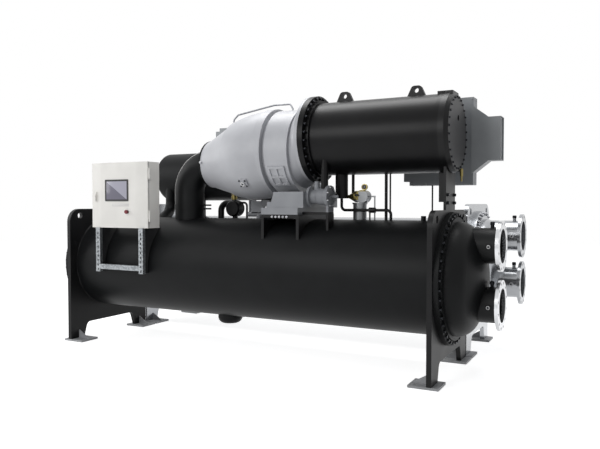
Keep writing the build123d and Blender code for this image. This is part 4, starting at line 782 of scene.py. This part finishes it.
# %% The pane
BEZEL = 0.020
PANE_THICK = 0.0012
GLASS_SINK = 0.003
screen_low, screen_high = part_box("display_screen")
pane_low = (screen_low[0] + BEZEL, screen_low[1], screen_low[2] + BEZEL)
pane_high = (screen_high[0] - BEZEL, screen_low[1] + GLASS_SINK, screen_high[2] - BEZEL)
painted_reflection_glass = glass_with_painted_reflection("display_glass_painted_reflection", pane_low, pane_high)
clear_bench()
bpy.ops.mesh.primitive_cube_add(size=1.0, location=[(a + b) / 2 for a, b in zip(pane_low, pane_high)],
                                scale=(pane_high[0] - pane_low[0], PANE_THICK, pane_high[2] - pane_low[2]))
pane = begin("display_pane")
edit_faces(pane, lambda place, normal: normal.y < -0.9)
bpy.ops.mesh.inset(thickness=0.002)
bpy.ops.transform.translate(value=(0, -0.0004, 0))
complete(pane, painted_reflection_glass, "door")

# %% The blank label strip
LABEL_LEFT, LABEL_WIDE = 0.097, 0.244
LABEL_DOWN, LABEL_TALL = 0.024, 0.033
LABEL_THICK = 0.0012
door_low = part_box("cabinet_door")[0]
DOOR_FRONT = screen_low[1] + 0.006
clear_bench()
bpy.ops.mesh.primitive_cube_add(size=1.0, location=(screen_low[0] + LABEL_LEFT + LABEL_WIDE / 2,
                                                    DOOR_FRONT - LABEL_THICK / 2,
                                                    screen_low[2] - LABEL_DOWN - LABEL_TALL / 2),
                                scale=(LABEL_WIDE, LABEL_THICK, LABEL_TALL))
label = begin("blank_label_strip")
edit_faces(label, lambda place, normal: normal.y < -0.9)
bpy.ops.mesh.inset(thickness=0.0012)
bpy.ops.transform.translate(value=(0, -0.0004, 0))
complete(label, label_and_highlight_film, "door")

# %% Edge trim round the cabinet's opening
TRIM_WIDE, TRIM_DEEP = 0.012, 0.0045
cabinet_low, cabinet_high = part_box("cabinet")
CAB_LEFT, CAB_RIGHT = cabinet_low[0], door_low[0] + 0.799
rim_y = DOOR_FRONT + 0.028 + 0.005
clear_bench()
bpy.ops.mesh.primitive_plane_add(size=1.0, location=((CAB_LEFT + CAB_RIGHT) / 2, rim_y,
                                                     (cabinet_low[2] + cabinet_high[2]) / 2),
                                 rotation=(pi / 2, 0, 0))
trim = begin("cabinet_edge_trim")
edit_faces(trim, lambda place, normal: True)
bpy.ops.transform.resize(value=(CAB_RIGHT - CAB_LEFT, 1.0, cabinet_high[2] - cabinet_low[2]))
bpy.ops.mesh.inset(thickness=TRIM_WIDE)
bpy.ops.mesh.delete(type="FACE")
bpy.ops.mesh.select_all(action="SELECT")
bpy.ops.mesh.extrude_region_move(TRANSFORM_OT_translate={"value": (0, -TRIM_DEEP, 0)})
bpy.ops.mesh.select_all(action="SELECT")
bpy.ops.mesh.normals_make_consistent(inside=False)
complete(trim, foam)

# %% [markdown]
# ## Inside the cabinet
#
# With the door open the controls show: three rails carry a controller, a row of circuit breakers and
# a row of terminals, with lidded cable duct between them. Each kind of device is modelled once and
# copied along its rail, because real ones are bought by the dozen.


# %% One breaker, one terminal
def device_model(wide, deep, tall, step_deep):
    """A rail device: a case whose middle stands forward in a step, facing -Y from the origin."""
    clear_bench()
    bpy.ops.mesh.primitive_cube_add(size=1.0, location=(0, -deep / 2, 0), scale=(wide, deep, tall))
    case = begin("device_model")
    edit_faces(case, lambda place, normal: normal.y < -0.9)
    bpy.ops.mesh.inset(thickness=min(wide, tall) * 0.06)
    bpy.ops.transform.resize(value=(1.0, 1.0, 0.55))
    bpy.ops.mesh.extrude_region_move(TRANSFORM_OT_translate={"value": (0, -step_deep, 0)})
    bpy.ops.mesh.inset(thickness=min(wide, tall) * 0.14)
    bpy.ops.mesh.extrude_region_move(TRANSFORM_OT_translate={"value": (0, step_deep * 0.4, 0)})
    clear_bench()
    return case


def device_row(name, model, left, pitch, count, z, finish):
    """Copies of a device along a rail."""
    clear_bench()
    for n in range(count):
        twin = model.copy()
        twin.data = model.data.copy()
        twin.data.transform(Matrix.Translation((left + pitch * n, RAIL_FACE, z)))
        scene.collection.objects.link(twin)
        twin.select_set(True)
        bpy.context.view_layer.objects.active = twin
    bpy.ops.object.join()
    complete(begin(name), finish)


# %% The rows on the rails
rails_low, rails_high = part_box("mounting_plate")
RAIL_FACE = rails_low[1]
plate_tall = rails_high[2] - rails_low[2]
rail_z = [rails_low[2] + plate_tall * (n + 0.5) / 3 for n in range(3)]
row_left = rails_low[0] + 0.080
controller = device_model(0.110, 0.060, 0.100, 0.014)
breaker = device_model(0.0175, 0.050, 0.086, 0.016)
terminal = device_model(0.0062, 0.040, 0.052, 0.006)
device_row("controller_modules", controller, row_left + 0.055, 0.114, 4, rail_z[2], breaker_plastic)
device_row("circuit_breakers", breaker, row_left + 0.010, 0.0180, 26, rail_z[1], breaker_plastic)
device_row("terminal_blocks", terminal, row_left + 0.004, 0.0064, 78, rail_z[0], terminal_plastic)

# %% Lidded cable ducts
DUCT_WIDE, DUCT_DEEP = 0.040, 0.055
DUCT_END, LID_EDGE, LID_HIGH = 0.020, 0.003, 0.002
RAIL_DEEP = 0.0075
duct_back = RAIL_FACE + RAIL_DEEP
for n, z in enumerate(((rail_z[0] + rail_z[1]) / 2, (rail_z[1] + rail_z[2]) / 2)):
    clear_bench()
    bpy.ops.mesh.primitive_cube_add(size=1.0, location=((rails_low[0] + rails_high[0]) / 2,
                                                        duct_back - DUCT_DEEP / 2, z),
                                    scale=(rails_high[0] - rails_low[0] - 2 * DUCT_END, DUCT_DEEP, DUCT_WIDE))
    duct = begin(f"cable_duct_{n + 1}")
    edit_faces(duct, lambda place, normal: normal.y < -0.9)
    bpy.ops.mesh.inset(thickness=LID_EDGE)
    bpy.ops.mesh.extrude_region_move(TRANSFORM_OT_translate={"value": (0, -LID_HIGH, 0)})
    complete(duct, duct_plastic)

# %% [markdown]
# ## The oil gauge and the strainer's lever
#
# The pressure gauge is a dark dial in a brass rim with a short pointer, and the strainer's shut-off
# has an oval black lever. The pointer is a plane drawn out to a tip, and the lever a sphere flattened
# in edit mode.

# %% Gauge
GAUGE_R, GAUGE_DEEP = 0.030, 0.026
GAUGE_X, GAUGE_Y = 1.1729, -0.4565
gauge_z = strainer_top - GAUGE_R
dial = (GAUGE_X, GAUGE_Y - GAUGE_DEEP / 2, gauge_z)
flat_ring("gauge_rim", dial, (0, -1, 0), 0.027, 0.004, brass)
dial_model = cap_model(0.024, 0.001)
copies("gauge_dial", dial_model, [(dial, (0, -1, 0))], bezel_plastic)
clear_bench()
bpy.ops.mesh.primitive_cube_add(size=1.0, location=(GAUGE_X + 0.004, dial[1] - 0.0014, gauge_z + 0.006),
                                scale=(0.0016, 0.0008, 0.024))
pointer = begin("gauge_pointer")
edit_faces(pointer, lambda place, normal: normal.z > 0.9)
bpy.ops.transform.resize(value=(0.3, 1.0, 1.0))
complete(pointer, white_nylon)

# %% Lever
LEVER_PLACE = (1.112, -0.5225, 1.668)
clear_bench()
bpy.ops.mesh.primitive_uv_sphere_add(segments=24, ring_count=12, radius=0.027, location=LEVER_PLACE)
lever = begin("strainer_lever")
edit_faces(lever, lambda place, normal: True)
bpy.ops.transform.resize(value=(1.0, 0.45, 0.42))
complete(lever, bezel_plastic)

# %% Put the models away
for model in (bolt, stud, small_bolt, port_bolt, cap, plug, controller, breaker, terminal, dial_model):
    bpy.data.objects.remove(model)
